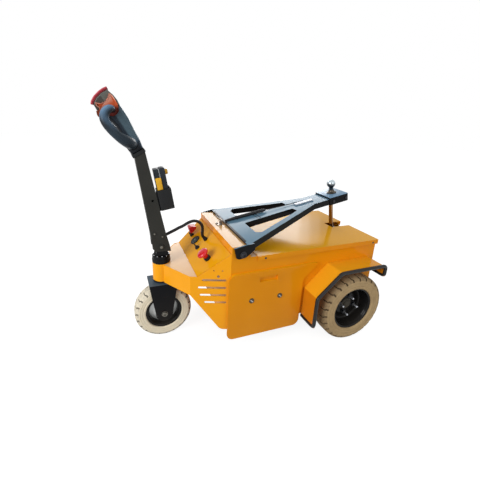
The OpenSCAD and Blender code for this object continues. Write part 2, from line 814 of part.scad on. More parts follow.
module steer_stem() color(zinc) translate([x_head, 0, 0]) rotate_extrude() polygon([
    [0, crown_h], [stem_d / 2 + 14, crown_h], [stem_d / 2 + 14, tube_bottom - seat],
    [stem_d / 2, tube_bottom - seat], [stem_d / 2, cap_bottom], [0, cap_bottom]
]);

bracket_in = tiller_w / 2 - tiller_t - 1;

module steer_head() color(frame_black) {
    translate([x_head, 0, cap_bottom]) {
        cylinder(d = head_d + 2, h = cap_h - 8);
        cylinder(d = head_d - 6, h = cap_h);
    }
    // two lugs that carry the tilt pin
    difference() {
        for (side = [-1, 1]) on_side(side) upright(bracket_in - 8, bracket_in) union() {
            polygon([
                [x_head - 32, cap_top - 1], [x_head + 38, cap_top - 1],
                [x_head + 20, tilt_h], [x_head - 22, tilt_h]
            ]);
            translate([x_head - 2, tilt_h]) circle(d = 42);
        }
        tilt_frame() bar_y(pin_d + 2 * run, -tiller_w, tiller_w);
    }
    tilt_frame() bar_y(pin_d, -bracket_in, bracket_in);
}

module tilt_frame() {
    translate([x_head - 2, 0, tilt_h]) children();
}

leg_in = front_tyre_w / 2 + fork_gap;
leg_out = leg_in + fork_t;

module fork() color(frame_black) {
    foot_d = 88;
    difference() {
        union() {
            translate([x_head - crown_w / 2, -leg_in - 1, crown_h - fork_t])
                cube([crown_w, 2 * leg_in + 2, fork_t]);
            for (side = [-1, 1]) on_side(side) upright(leg_in, leg_out) fork_leg(foot_d);
        }
        translate([x_head, 0, front_axle_h]) bar_y(axle_bolt_d + 2 * run, -leg_out - 1, leg_out + 1);
    }
}

// A leg tapers from the crown to a round foot at the axle
module fork_leg(foot_d) {
    rise = crown_h - fork_t - front_axle_h;
    r = foot_d / 2;
    half = crown_w / 2;
    steps = 20;
    // the sides are tangent to the foot's circle
    side_a = atan2(rise, half) - acos(r / norm([half, rise]));
    sweep = 180 + 2 * side_a;
    translate([x_head, front_axle_h]) polygon(concat(
        [[-half, rise + fork_t], [half, rise + fork_t], [half, rise]],
        [for (i = [0 : steps]) let(a = side_a - sweep * i / steps) r * [cos(a), sin(a)]],
        [[-half, rise]]
    ));
}

module front_axle_bolt() color(zinc) translate([x_head, 0, front_axle_h]) {
    bar_y(axle_bolt_d, -leg_out - 6, leg_out + 6);
    for (side = [-1, 1]) on_side(side) {
        translate([0, leg_out + 10, 0]) rotate([90, 0, 0]) cylinder(d = 34, h = 10 - seat, $fn = 6);
    }
}

module front_rim() color(frame_black) translate([x_head, 0, front_axle_h]) {
    half = front_tyre_w / 2 - 6;
    lip = front_rim_d / 2;
    hub_half = leg_in - 1;
    bore = axle_bolt_d / 2 + run;
    seat_w = 12;
    turned_y([
        [bore, -hub_half], [26, -hub_half], [26, -14], [lip - 33, -10], [lip - 25, -half + 10],
        [lip - 4, -half], [lip, -half], [lip, -half + 5], [lip - 13, -half + seat_w],
        [lip - 13, half - seat_w], [lip, half - 5], [lip, half], [lip - 4, half],
        [lip - 25, half - 10], [lip - 33, 10], [26, 14], [26, hub_half], [bore, hub_half]
    ]);
}

// Section of a tyre on its rim, as [radius, distance from the centre plane]
function tyre_section(r, w, rim_r) =
    let(h = w / 2, shoulder = h * 0.3)
    [
        [rim_r, -h + 5], [rim_r + 12, -h], [r - shoulder * 1.1, -h + 1], [r - shoulder * 0.35, -h + shoulder * 0.45],
        [r, -h + shoulder], [r, h - shoulder], [r - shoulder * 0.35, h - shoulder * 0.45],
        [r - shoulder * 1.1, h - 1], [rim_r + 12, h], [rim_r, h - 5]
    ];

module tyre(r, w, rim_r, blocks) {
    difference() {
        turned_y(tyre_section(r, w, rim_r));
        // grooves between the shoulder blocks, one block standing on the ground
        for (i = [0 : blocks - 1], side = [-1, 1])
            rotate([0, (i + 0.5) * 360 / blocks, 0])
                translate([-3, side > 0 ? w / 2 - w * 0.27 : -w / 2 - 1, -r - 1])
                    cube([6, w * 0.27 + 1, groove_depth + 1]);
    }
}

module front_tyre() color(tyre_beige) translate([x_head, 0, front_axle_h])
    tyre(front_tyre_d / 2, front_tyre_w, front_rim_d / 2 + seat, front_blocks);

module rear_tyre(side) color(tyre_beige) on_side(side) translate([0, wheel_y, axle_h])
    tyre(rear_tyre_d / 2, rear_tyre_w, rear_rim_d / 2 + seat, rear_blocks);

module rear_rim(side) color(frame_black) on_side(side) translate([0, 0, axle_h]) {
    lip = rear_rim_d / 2;
    in_y = 2 * wheel_y - rim_lip_y;
    t = 5;
    difference() {
        turned_y([
            [34, disc_y], [70, disc_y], [82, disc_y - 8], [lip - 24, disc_y - 8], [lip - 18, disc_y - 2],
            [lip - 15, rim_lip_y - 12], [lip - 3, rim_lip_y], [lip, rim_lip_y],
            [lip, rim_lip_y - 4], [lip - 10, rim_lip_y - 14], [lip - 10, in_y + 14],
            [lip, in_y + 4], [lip, in_y], [lip - 3, in_y], [lip - 15, in_y + 12],
            [lip - 15, disc_y - 14], [lip - 24, disc_y - 14], [74, disc_y - 14],
            [70, disc_y - t], [34, disc_y - t]
        ]);
        for (i = [0 : 3]) rotate([0, 45 + 90 * i + 18, 0]) translate([stud_pcd / 2, 0, 0])
            bar_y(stud_d + 2 * seat, disc_y - 20, disc_y + 20);
    }
}

module rear_hub(side) color(frame_black) on_side(side) translate([0, 0, axle_h]) {
    in_y = disc_y - 26 + seat;
    bar_y(hub_d, in_y, disc_y - 5 - seat);
    bar_y(66, in_y, disc_y + 6);
    for (i = [0 : 3]) rotate([0, 45 + 90 * i + 18, 0]) translate([stud_pcd / 2, 0, 0]) {
        bar_y(stud_d, disc_y - 10, disc_y + 26);
        translate([0, disc_y + 12, 0]) rotate([90, 0, 0]) cylinder(d = 24, h = 12 - seat, $fn = 6);
    }
}

// The tiller's own frame: +Z along the column, +X to the rear, on the tilt pin
module on_tiller() {
    tilt_frame() rotate([0, -tiller_lean, 0]) children();
}

service_d = 12;
cable_s = 44;
waist_s = 66;
waist = tiller_foot / 2 - 6;
// the column's top end is cut square to the head
column_cut = tiller_tip / 2 * tan(head_lean - tiller_lean);
function column_half(s) =
    waist - (waist - tiller_tip / 2) * (s - waist_s) / (tiller_l + column_cut - waist_s);

module tiller_column() color([0.16, 0.16, 0.15]) on_tiller() {
    foot_half = tiller_foot / 2;
    tip_half = tiller_tip / 2;
    low = -36;
    y1 = tiller_w / 2;
    side_view = [
        [-foot_half * 0.76, -20], [foot_half, low], [foot_half, 0], [waist, waist_s],
        [tip_half, tiller_l + column_cut], [-tip_half, tiller_l - column_cut], [-waist, waist_s], [-foot_half, 0]
    ];
    difference() {
        union() {
            for (side = [-1, 1]) on_side(side) upright(y1 - tiller_t, y1) polygon(side_view);
            // rear web, and a front web that stops short of the tilt bracket
            upright(-y1 + 1, y1 - 1) polygon(folded([
                [foot_half - 2, 22], [waist, waist_s], [tip_half, tiller_l + column_cut]
            ], tiller_t));
            upright(-y1 + 1, y1 - 1) polygon(folded([
                [-waist - 2, waist_s - 24], [-waist, waist_s], [-tip_half, tiller_l - column_cut]
            ], -tiller_t));
        }
        // pin holes, service hole and the cable's way in at the rear
        bar_y(pin_d + 2 * run, -tiller_w, tiller_w);
        translate([9, 0, 242]) bar_y(service_d, -tiller_w, tiller_w);
        translate([waist - 10, 0, cable_s]) rotate([0, 90, 0]) cylinder(d = 20, h = 30);
        // the top end is cut off under the collar
        translate([0, 0, tiller_l]) rotate([0, tiller_lean - head_lean, 0])
            translate([-tiller_foot, -tiller_w, 0]) cube([2 * tiller_foot, 2 * tiller_w, tiller_foot]);
    }
    for (side = [-1, 1]) on_side(side) {
        translate([0, y1 + 7, 0]) rotate([90, 0, 0]) cylinder(d = 26, h = 7, $fn = 6);
        for (p = [[-18, 77], [16, 53]])
            translate([p[0], y1 + 4, p[1]]) rotate([90, 0, 0]) cylinder(d = 14, h = 4);
    }
}

// The head's own frame: +Z along the head, +X to the rear, on the column's tip
module on_head() {
    on_tiller() translate([0, 0, tiller_l]) rotate([0, tiller_lean - head_lean, 0]) children();
}

collar_s = 16;
core_half = 40;
nose_half = 46;
nose_s = 214;

module tiller_collar() color(frame_black) on_head() {
    translate([-tiller_tip / 2 - 8, -tiller_w / 2 - 3, seat]) cube([tiller_tip + 14, tiller_w + 6, collar_s]);
}

module tiller_head() color([0.13, 0.16, 0.2]) on_head() {
    base = collar_s + 2 * seat;
    upright(-core_half, core_half) polygon(concat(
        [[-30, base], [29, base], [36, 55], [38, 99], [44, 148], [43, nose_s - seat]],
        [[-46, nose_s - seat], [-40, 190], [-20, 160], [-14, 120], [-18, 80], [-30, 50]]
    ));
}

// Plan of the nose: two facets a side meet in a ridge
ridge_q = -2;
nose_plan = [
    [-54, -nose_half + 7], [ridge_q, -nose_half], [48, -nose_half + 4],
    [48, nose_half - 4], [ridge_q, nose_half], [-54, nose_half - 7]
];

module head_nose() color([0.2, 0.2, 0.2]) on_head() intersection() {
    upright(-nose_half, nose_half) polygon(concat(
        [[-48, nose_s], [43, nose_s], [42, 259]], reversed(beside(cap_path, -seat))
    ));
    translate([0, 0, nose_s - 1]) linear_extrude(90) polygon(nose_plan);
}

// One closed hand loop a side, from the core's foot round to the nose
loop_y = head_w / 2 - loop_d / 2;
// Points between the core and the grip, k of the way out
function loop_at(q, k, s) = [q, core_half + k * (loop_y - core_half), s];
// The upper end turns to the rear, thins and enters the nose's side through the thumb rocker
loop_q = 14;
loop_s = 212;
loop_pts = [
    [-8, core_half + seat, 50], [-8, core_half + 12, 50], loop_at(-13, 0.41, 54), loop_at(-19, 0.62, 62),
    loop_at(-27, 0.80, 76), loop_at(-35, 0.93, 96), loop_at(-41, 0.985, 120), loop_at(-44, 1, 146),
    loop_at(-43, 0.98, 168), loop_at(-39, 0.93, 187), loop_at(-31, 0.87, 202), loop_at(-20, 0.80, 212),
    loop_at(-8, 0.72, 216), loop_at(3, 0.61, 216), loop_at(11, 0.47, 214), [loop_q, nose_half + 16, loop_s],
    [loop_q, nose_half + seat, loop_s]
];
loop_ds = loop_d * [1, 1, 1, 1, 1, 1, 1, 1, 1, 1, 1, 0.98, 0.94, 0.86, 0.77, 0.68, 0.62];

module hand_loops() color([0.13, 0.16, 0.2]) on_head() for (side = [-1, 1]) on_side(side)
    swept_tube(loop_pts, loop_ds, 16, [1, 1, -1]);

// Thumb rocker: a wing plate with two raised horns, round the loop's upper end
rocker_w = 15;
rocker_outline = [
    [-39, 255], [-34, 267], [-27, 262], [-18, 254], [-6, 252], [7, 253], [15, 257], [23, 266], [30, 272],
    [36, 265], [38, 246], [37, 228], [34, 210], [26, 196], [12, 189], [-4, 189], [-14, 196], [-19, 208],
    [-24, 226], [-33, 238]
];

module thumb_rockers() color([0.85, 0.35, 0.1]) on_head() for (side = [-1, 1]) on_side(side)
    upright(nose_half + seat, nose_half + rocker_w) difference() {
        polygon(rocker_outline);
        translate([loop_q, loop_s]) circle(d = 0.68 * loop_d + 7);
    }

module safety_button() color("red") on_head() {
    upright(-nose_half + 7, nose_half - 7) polygon(folded(cap_path, cap_t));
}

holster_q = 38;
holster_s = 182;

module holster_plan(t) {
    polygon(rounded_loop([
        [holster_q + t, -36 + t], [holster_q + 68 - t, -36 + t],
        [holster_q + 68 - t, 36 - t], [holster_q + t, 36 - t]
    ], 7 - t, 4));
}

module holster() color([0.15, 0.15, 0.16]) on_tiller() {
    wall = 4;
    translate([0, 0, holster_s]) difference() {
        linear_extrude(102) holster_plan(0);
        translate([0, 0, wall]) linear_extrude(102) holster_plan(wall);
    }
    // pad that fits it to the column's rear web
    pad_h = 90;
    upright(-22, 22) polygon([
        [column_half(holster_s) + seat, holster_s], [holster_q + 1, holster_s],
        [holster_q + 1, holster_s + pad_h], [column_half(holster_s + pad_h) + seat, holster_s + pad_h]
    ]);
}

module handset() color([0.12, 0.13, 0.15]) on_tiller() {
    // two shells on a narrower core, with a key block on the front one and a knob on the rear one
    foot_s = holster_s + 4 + seat;
    translate([holster_q + 5, -26, foot_s]) cube([23, 52, 196]);
    translate([holster_q + 30.5, -26, foot_s]) cube([26.5, 52, 198]);
    translate([holster_q + 20, -22, foot_s + 4]) cube([20, 44, 182]);
    translate([holster_q + 7, -30.5, holster_s + 104]) cube([20, 61, 58]);
    translate([holster_q + 56, 0, 361]) rotate([0, 90, 0]) cylinder(d = 26, h = 11);
}

// The arm's own frame: +X along the arm, +Z out of its top face, on the pivot
module on_arm() {
    translate([-pivot_x, 0, pivot_h]) rotate([0, -arm_rise, 0]) children();
}

arm_front = 30;
taper_k = (arm_half_w - arm_tip_half) / (arm_taper_l - arm_front);
function arm_half(u) = max(arm_tip_half, arm_half_w - (u - arm_front) * taper_k);

arm_outline = [
    [arm_front, -arm_half_w], [arm_taper_l, -arm_tip_half], [arm_l, -arm_tip_half],
    [arm_l, arm_tip_half], [arm_taper_l, arm_tip_half], [arm_front, arm_half_w]
];
window_u0 = arm_front + 87;
window_u1 = arm_taper_l - 128;
window = [
    [window_u0, spine_half + 2], [window_u1, spine_half - 2],
    [window_u1, arm_half(window_u1) - rail_w], [window_u0 + 24, arm_half(window_u0 + 24) - rail_w],
    [window_u0, arm_half(window_u0) - rail_w - 30]
];

module arm_plan(t) {
    difference() {
        polygon(inset_loop(arm_outline, t));
        for (w = [window, mirror_y(window)])
            polygon(rounded_loop(inset_loop(w, -t), 12 + t, 5));
    }
}

module hitch_arm() color(frame_black) on_arm() {
    difference() {
        union() {
            translate([0, 0, arm_top - arm_depth]) difference() {
                linear_extrude(arm_depth) arm_plan(0);
                translate([0, 0, -1]) linear_extrude(arm_depth - arm_t + 1) arm_plan(arm_t);
                // the channel is open in front, over the bridge
                translate([arm_front - 1, -arm_half_w + arm_t, -1])
                    cube([2 * arm_t, 2 * (arm_half_w - arm_t), arm_depth - arm_t + 1]);
            }
            for (side = [-1, 1]) on_side(side) upright(ear_in, arm_half_w) polygon([
                [-38, arm_top + 3], [-36, -8], [-24, -18], [12, -18], [46, -2], [62, arm_top - arm_depth + 1],
                [62, arm_top - 1], [30, arm_top + 3]
            ]);
            // lugs for the lift rod's pin
            for (side = [-1, 1]) on_side(side) upright(rod_d / 2 + 9, rod_d / 2 + 16) union() {
                translate([eye_u, eye_w]) circle(d = 40);
                translate([eye_u - 20, eye_w]) square([40, arm_top - arm_t - eye_w + 1]);
            }
        }
        bar_y(pivot_d + 2 * run, -arm_half_w - 1, arm_half_w + 1);
    }
    translate([eye_u, 0, eye_w]) bar_y(pin_d, -rod_d / 2 - 20, rod_d / 2 + 20);
}

plate_u0 = eye_u - plate_lead;
plate_u1 = eye_u + plate_tail;
plate_top = arm_top + 9;
plate_half = arm_tip_half + 6;

// Plan of the plate, open in front and with round rear corners, moved inwards by t
module plate_plan(t) {
    half = plate_half - t;
    far = plate_u1 - t;
    near = t > 0 ? plate_u0 - 1 : plate_u0;
    polygon(concat(
        [[near, -half]], arc_corner([near, -half], [far, -half], [far, half], plate_r - t, 5),
        arc_corner([far, -half], [far, half], [near, half], plate_r - t, 5), [[near, half]]
    ));
}

module ball_plate() color(frame_black) on_arm() {
    t = 5;
    low = arm_top - arm_depth - 2;
    difference() {
        translate([0, 0, low]) linear_extrude(plate_top - low) plate_plan(0);
        translate([0, 0, low - 1]) linear_extrude(arm_top + seat - low + 1) plate_plan(t);
        translate([eye_u, 0, arm_top]) cylinder(d = 22 + 2 * run, h = 20);
    }
    for (side = [-1, 1], u = [plate_u0 + 24, plate_u1 - 19])
        translate([u, side * plate_half, arm_top - 16]) rotate([-90 * side, 0, 0])
            cylinder(d = 16, h = 5);
}

module tow_ball() color([0.85, 0.87, 0.9]) on_arm() translate([eye_u, 0, plate_top]) {
    rotate_extrude() polygon(concat(
        [[0, -7], [11, -7], [11, seat], [28, seat], [28, 5], [19, 9], [neck_d / 2, 16]],
        [for (a = [-56 : 4 : 90]) [ball_d / 2 * cos(a), ball_h + ball_d / 2 * sin(a)]]
    ));
}

module release_cable() color([0.12, 0.12, 0.13]) on_arm() {
    lie = arm_top + seat;
    // sheath, adjuster, bare wire and the latch slide, lying along the spine
    translate([34, 40, lie + 5]) rotate([0, 90, -3]) cylinder(d = 10, h = 190);
    translate([224, 30, lie + 6]) rotate([0, 90, -3]) cylinder(d = 12, h = 60);
    translate([284, 27, lie + 6]) rotate([0, 90, -4]) cylinder(d = 4, h = 240);
    translate([440, -14, lie]) cube([116, 20, 9]);
}

// Parked, the rod leans half a degree past its pin, so that the play is shared out
module lift_frame() {
    translate([foot[0], 0, foot[1]]) rotate([0, -lift_lean - 0.5, 0]) children();
}

module lift_barrel() color(frame_black) lift_frame() {
    rod_bore = rod_d / 2 + run;
    difference() {
        union() {
            translate([0, 0, 20]) cylinder(d = barrel_d, h = barrel_l - 20);
            bar_y(40, -barrel_d / 2 + 1, barrel_d / 2 - 1);
            translate([-18, -barrel_d / 2 + 6, 0]) cube([36, barrel_d - 12, 24]);
        }
        translate([0, 0, 34]) cylinder(d = rod_d + 2 * run, h = barrel_l);
        bar_y(pin_d + 2 * run, -barrel_d, barrel_d);
    }
}

module lift_rod() color([0.85, 0.87, 0.9]) lift_frame() {
    eye_d = pin_d + 2 * eye_play;
    eye_out = eye_d + 8;
    tail = 176;
    difference() {
        union() {
            translate([0, 0, tail]) cylinder(d = rod_d, h = lift_len - tail - eye_out / 2 + 6);
            translate([0, 0, lift_len]) bar_y(eye_out, -rod_d / 2 + 2, rod_d / 2 - 2);
        }
        translate([0, 0, lift_len]) bar_y(eye_d, -rod_d, rod_d);
    }
}

// The tiller's cable, from its gland on the console to the back of the column
cable_d = 14;
gland_n = 18 + seat;
gland_tip = [
    x_front - gland_at[0] * cos(console_pitch) - gland_n * sin(console_pitch), gland_at[1],
    console_top - gland_at[0] * sin(console_pitch) + gland_n * cos(console_pitch)
];
cable_end = [
    x_head - 2 - cable_s * sin(tiller_lean) + 34 * cos(tiller_lean), 0,
    tilt_h + cable_s * cos(tiller_lean) + 34 * sin(tiller_lean)
];
// the first stretch ends where the second one, which turns with the tiller, starts
cable_pts = [
    gland_tip, gland_tip + 12 * [-sin(console_pitch), 0, cos(console_pitch)],
    [-746, 7, 562], [-752, 3, 585], [-759, -1, 608],
    [-774, -4, 626], [-800, -5, 633], [-826, -4, 628], [-848, -3, 619]
];
cable_end_pts = [
    [-848, -3, 619], [-870, -2, 610], [-888, -2, 601.5], [-912, -1, 590.5], cable_end + [10, 0, 2], cable_end
];

// A ring of n points across the direction d; the axis across isn't along any d.
// A tube's d is one diameter, or a list with each ring's own.
function ring(c, d, r, n, across) =
    let(
        u0 = cross(d, across),
        u = u0 / norm(u0),
        v = cross(d, u)
    ) [for (i = [0 : n - 1]) c + r * (u * cos(360 * i / n) + v * sin(360 * i / n))];

module swept_tube(pts, d, n, across = [0, 1, 0]) {
    last = len(pts) - 1;
    dirs = [for (i = [0 : last])
        let(t = pts[min(i + 1, last)] - pts[max(i - 1, 0)]) t / norm(t)];
    polyhedron(
        points = [for (i = [0 : last]) each ring(pts[i], dirs[i], (is_list(d) ? d[i] : d) / 2, n, across)],
        faces = concat(
            [[for (i = [0 : n - 1]) i]],
            [[for (i = [n - 1 : -1 : 0]) last * n + i]],
            [for (j = [0 : last - 1], i = [0 : n - 1])
                [j * n + i, (j + 1) * n + i, (j + 1) * n + (i + 1) % n, j * n + (i + 1) % n]]
        )
    );
}

module tiller_cable() color([0.06, 0.06, 0.07]) swept_tube(cable_pts, cable_d, 10);
module tiller_cable_end() color([0.06, 0.06, 0.07]) swept_tube(cable_end_pts, cable_d, 10);

place() body_shell();
place() floor_pan();
place() lid();
place() side_cover(1);  // side_cover_l
place() side_cover(-1);  // side_cover_r
place() cover_locks();
place() console_panel();
place() cowl_side(1);  // cowl_side_l
place() cowl_side(-1);  // cowl_side_r
place() neck_plates();
place() head_tube();
place() gauge();
place() key_switch();
place() stop_button();
place() charge_plug();
place() cable_gland();
place() fender(1);  // fender_l
place() fender(-1);  // fender_r
place() fender_trim(1);  // fender_trim_l
place() fender_trim(-1);  // fender_trim_r
place() drive_axle();
place() drive_motor();
place() battery();
place() lift_mount();
place() hitch_pivots();
place() cable_bracket();
place() steer_stem();
place() steer_head();
place() fork();
place() front_axle_bolt();
place() front_rim();
place() front_tyre();
place() tiller_column();
place() tiller_collar();
place() tiller_head();
place() head_nose();
place() hand_loops();
place() thumb_rockers();
place() safety_button();
place() holster();
place() handset();
place() rear_hub(1);  // rear_hub_l
place() rear_rim(1);  // rear_rim_l
place() rear_tyre(1);  // rear_tyre_l
place() rear_hub(-1);  // rear_hub_r
place() rear_rim(-1);  // rear_rim_r
place() rear_tyre(-1);  // rear_tyre_r
place() hitch_arm();
place() ball_plate();
place() tow_ball();
place() release_cable();
place() lift_barrel();
place() lift_rod();
place() tiller_cable();
place() tiller_cable_end();
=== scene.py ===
import json
import math

import bmesh
import bpy
from mathutils import Matrix, Vector


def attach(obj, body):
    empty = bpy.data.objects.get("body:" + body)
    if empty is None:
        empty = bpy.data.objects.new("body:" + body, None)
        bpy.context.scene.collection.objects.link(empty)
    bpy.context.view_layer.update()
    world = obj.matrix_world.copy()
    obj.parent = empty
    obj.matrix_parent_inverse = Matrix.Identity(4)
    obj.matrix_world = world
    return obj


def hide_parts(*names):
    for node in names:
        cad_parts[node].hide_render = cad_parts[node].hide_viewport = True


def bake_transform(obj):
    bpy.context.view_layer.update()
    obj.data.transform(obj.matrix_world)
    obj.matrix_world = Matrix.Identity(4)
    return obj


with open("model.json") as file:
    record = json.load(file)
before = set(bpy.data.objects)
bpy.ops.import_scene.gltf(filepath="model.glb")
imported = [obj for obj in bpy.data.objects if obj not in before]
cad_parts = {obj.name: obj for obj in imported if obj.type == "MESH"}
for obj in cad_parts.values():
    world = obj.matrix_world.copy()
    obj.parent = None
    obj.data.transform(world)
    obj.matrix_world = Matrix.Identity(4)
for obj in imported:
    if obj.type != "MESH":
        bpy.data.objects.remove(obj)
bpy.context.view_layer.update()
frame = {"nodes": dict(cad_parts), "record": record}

# The source drawing is in millimetres with X from the rear axle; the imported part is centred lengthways
midX = 509.8643
metre = Matrix.Scale(0.001, 4)
bodyOf = {n: b for b, members in frame["record"]["behaviour"]["bodies"].items() for n in members}


def spot(x, y, z):
    return Vector(((x + midX) / 1000, y / 1000, z / 1000))


def turnY(degrees):
    return Matrix.Rotation(math.radians(degrees), 4, "Y")


def turnX(degrees):
    return Matrix.Rotation(math.radians(degrees), 4, "X")


def turnZ(degrees):
    return Matrix.Rotation(math.radians(degrees), 4, "Z")


def shift(x, y, z):
    return Matrix.Translation((x, y, z))


# Frames of the parts, in millimetres, as the source drawing has them
base = Matrix.Translation(spot(0, 0, 0)) @ metre
axles = {"rear": (0, 190.5), "front": (-964, 151)}    # X and Z
consolePitch = math.degrees(math.atan2(122, 152))


def partFrame(x, z, tilt=0):
    return base @ shift(x, 0, z) @ turnY(tilt)


console = partFrame(-676, 556, -consolePitch)
steering = partFrame(-964, 0)
tiller = partFrame(-966, 531, -9.7)
head = tiller @ shift(0, 0, 464) @ turnY(-20.3)
armPivot = partFrame(-625, 555)
arm = armPivot @ turnY(-11.3)
rearAxle, frontAxle = partFrame(*axles["rear"]), partFrame(*axles["front"])
standUp = turnX(90)    # a turned profile's Y becomes Z
bothSides = {"l": Matrix.Identity(4), "r": Matrix.Diagonal((1, -1, 1, 1))}

bpy.context.scene.view_settings.view_transform = "Standard"

print("stage: camera")
cameraSetup = {
    "spot": (-0.64673, -1.4514, 1.17331),
    "yaw": 21.3, "pitch": -18.0, "roll": 2.1,
    "lens": 22.7, "shiftX": 0.0215, "shiftY": -0.0563,
}


def makeCamera(setup):
    yaw, pitch, roll = (math.radians(setup[k]) for k in ("yaw", "pitch", "roll"))
    ahead = Vector((math.sin(yaw) * math.cos(pitch), math.cos(yaw) * math.cos(pitch), math.sin(pitch)))
    right = Vector((math.cos(yaw), -math.sin(yaw), 0))
    up = right.cross(ahead)
    side = right * math.cos(roll) + up * math.sin(roll)
    top = up * math.cos(roll) - right * math.sin(roll)
    data = bpy.data.cameras.new("camera")
    data.lens, data.sensor_width = setup["lens"], 36
    data.shift_x, data.shift_y = setup["shiftX"], setup["shiftY"]
    camera = bpy.data.objects.new("camera", data)
    turn = Matrix((side, top, -ahead)).transposed().to_4x4()
    camera.matrix_world = Matrix.Translation(setup["spot"]) @ turn
    bpy.context.scene.collection.objects.link(camera)
    bpy.context.scene.camera = camera


makeCamera(cameraSetup)


# A socket that can be used in a Python expression
class Wire:
    def __init__(self, nodes, socket):
        self.nodes, self.socket = nodes, socket

    def __add__(self, other):
        return self.nodes.maths("ADD", self, other)

    def __sub__(self, other):
        return self.nodes.maths("SUBTRACT", self, other)

    def __rsub__(self, other):
        return self.nodes.maths("SUBTRACT", other, self)

    def __mul__(self, other):
        return self.nodes.maths("MULTIPLY", self, other)

    def __pow__(self, other):
        return self.nodes.maths("POWER", self, other)

    def __abs__(self):
        return self.nodes.maths("ABSOLUTE", self, 0)

    __radd__ = __add__
    __rmul__ = __mul__


# A node tree whose nodes are made by one method
class Nodes:
    def __init__(self, tree):
        self.tree = tree

    def node(self, kind, settings=None, inputs=None, output=0):
        made = self.tree.nodes.new(kind)
        for key, value in (settings or {}).items():
            setattr(made, key, value)
        for key, value in (inputs or {}).items():
            self.feed(made.inputs[key], value)
        return Wire(self, made.outputs[output])

    def feed(self, socket, value):
        if isinstance(value, Wire):
            self.tree.links.new(value.socket, socket)
        else:
            socket.default_value = value

    def maths(self, operation, first, second, clamp=False):
        return self.node("ShaderNodeMath", {"operation": operation, "use_clamp": clamp}, {0: first, 1: second})

    def seenLevel(self, hidden, seen):
        # one level for rays from the camera and those that gloss and glass send out, another for the rest
        camera, gloss, glass = (self.node("ShaderNodeLightPath", output=f"Is {kind} Ray")
                                for kind in ("Camera", "Glossy", "Transmission"))
        largest = self.maths("MAXIMUM", self.maths("MAXIMUM", camera, gloss), glass)
        return self.node("ShaderNodeMapRange", None, {"Value": largest, "To Min": hidden, "To Max": seen})


# A material on Blender's own surface shader
class Paint(Nodes):
    def __init__(self, name, **fixed):
        self.material = bpy.data.materials.new(name)
        self.material.use_nodes = True
        super().__init__(self.material.node_tree)
        self.shader = self.tree.nodes["Principled BSDF"]
        self.places = self.node("ShaderNodeTexCoord", output="Object")
        self.put(**fixed)

    def put(self, **links):
        for socket, value in links.items():
            self.feed(self.shader.inputs[socket.replace("_", " ")], value)

    def limited(self, value):
        return self.maths("ADD", value, 0, clamp=True)

    def step(self, value, low, high):
        return self.node("ShaderNodeMapRange", {"interpolation_type": "SMOOTHSTEP"},
                         {"Value": value, "From Min": low, "From Max": high})

    def noise(self, scale, detail=3, rough=0.5, places=None):
        return self.node("ShaderNodeTexNoise", None,
                         {"Vector": places or self.places, "Scale": scale, "Detail": detail, "Roughness": rough})

    def mix(self, factor, first, second):
        wide = [c if isinstance(c, Wire) else (*c, 1) for c in (first, second)]
        return self.node("ShaderNodeMix", {"data_type": "RGBA"}, {0: factor, 6: wide[0], 7: wide[1]}, 2)

    def axis(self, letter):
        return self.node("ShaderNodeSeparateXYZ", None, {0: self.places}, letter)

    def facing(self, low, high):
        # from 0 to 1 as the surface turns upwards
        normal = self.node("ShaderNodeTexCoord", output="Normal")
        return self.step(self.node("ShaderNodeSeparateXYZ", None, {0: normal}, "Z"), low, high)

    def bump(self, height, strength, distance):
        self.put(Normal=self.node("ShaderNodeBump", None,
                                  {"Height": height, "Strength": strength, "Distance": distance}, "Normal"))


print("stage: materials")
fineGrain = 520    # noise scale of moulded plastic's grain


# Enamel or powder coat with a faint drift of colour, orange peel and a little dust low down;
# on faces whose normal rises from low to high a second colour is laid over it: painted light and painted reflection
# from above
def enamel(name, light, dark, rough, gloss=0.1, peel=0.05, dust=0.1, dustColour=(0.42, 0.34, 0.24), paintedTopLight=None,
           low=0.55, high=0.9):
    p = Paint(name, Specular_IOR_Level=gloss)
    drift = p.noise(5, 4)
    fine = p.noise(420, 2)
    grime = p.noise(38, 6, 0.65)
    under = 1 - p.step(p.axis("Z"), 0.02, 0.34)
    dirt = p.limited(under * dust + p.step(grime, 0.56, 0.78) * dust * 0.7)
    colour = p.mix(p.step(drift, 0.3, 0.7), light, dark)
    # painted light and painted reflection on upward faces
    if paintedTopLight:
        colour = p.mix(p.limited(p.facing(low, high) * (0.92 + drift * 0.16)), colour, paintedTopLight)
    p.put(Base_Color=p.mix(dirt, colour, dustColour),
          Roughness=p.limited(rough + drift * 0.05 + dirt * 0.5 + grime * 0.03))
    p.bump(fine, peel, 0.0006)
    return p.material


# the yellow enamel is painted yellower on upward faces, as painted light from the sky
yellow = {"light": (0.88, 0.325, 0.006), "dark": (0.84, 0.3, 0.005), "rough": 0.11, "gloss": 0.08, "peel": 0.03,
          "dust": 0.04, "low": 0.7, "high": 0.82}
yellowEnamel = enamel("yellow_enamel", paintedTopLight=(0.8, 0.38, 0.006), **yellow)
# a lighter copy of the yellow enamel for the cowl sides, head tube and neck plates, as painted light on faces that
# catch more light
paler = {**yellow, "light": (0.98, 0.405, 0.011), "dark": (0.94, 0.38, 0.01)}
cowlEnamel = enamel("cowl_enamel", paintedTopLight=(0.88, 0.42, 0.01), **paler)
# the neck plates and the bridge are painted pale on upward faces, as a painted reflection of the bright sky
neckEnamel = enamel("neck_enamel", paintedTopLight=(0.83, 0.535, 0.275), **paler)
bridgeEnamel = enamel("bridge_enamel", paintedTopLight=(0.69, 0.42, 0.19), **yellow)
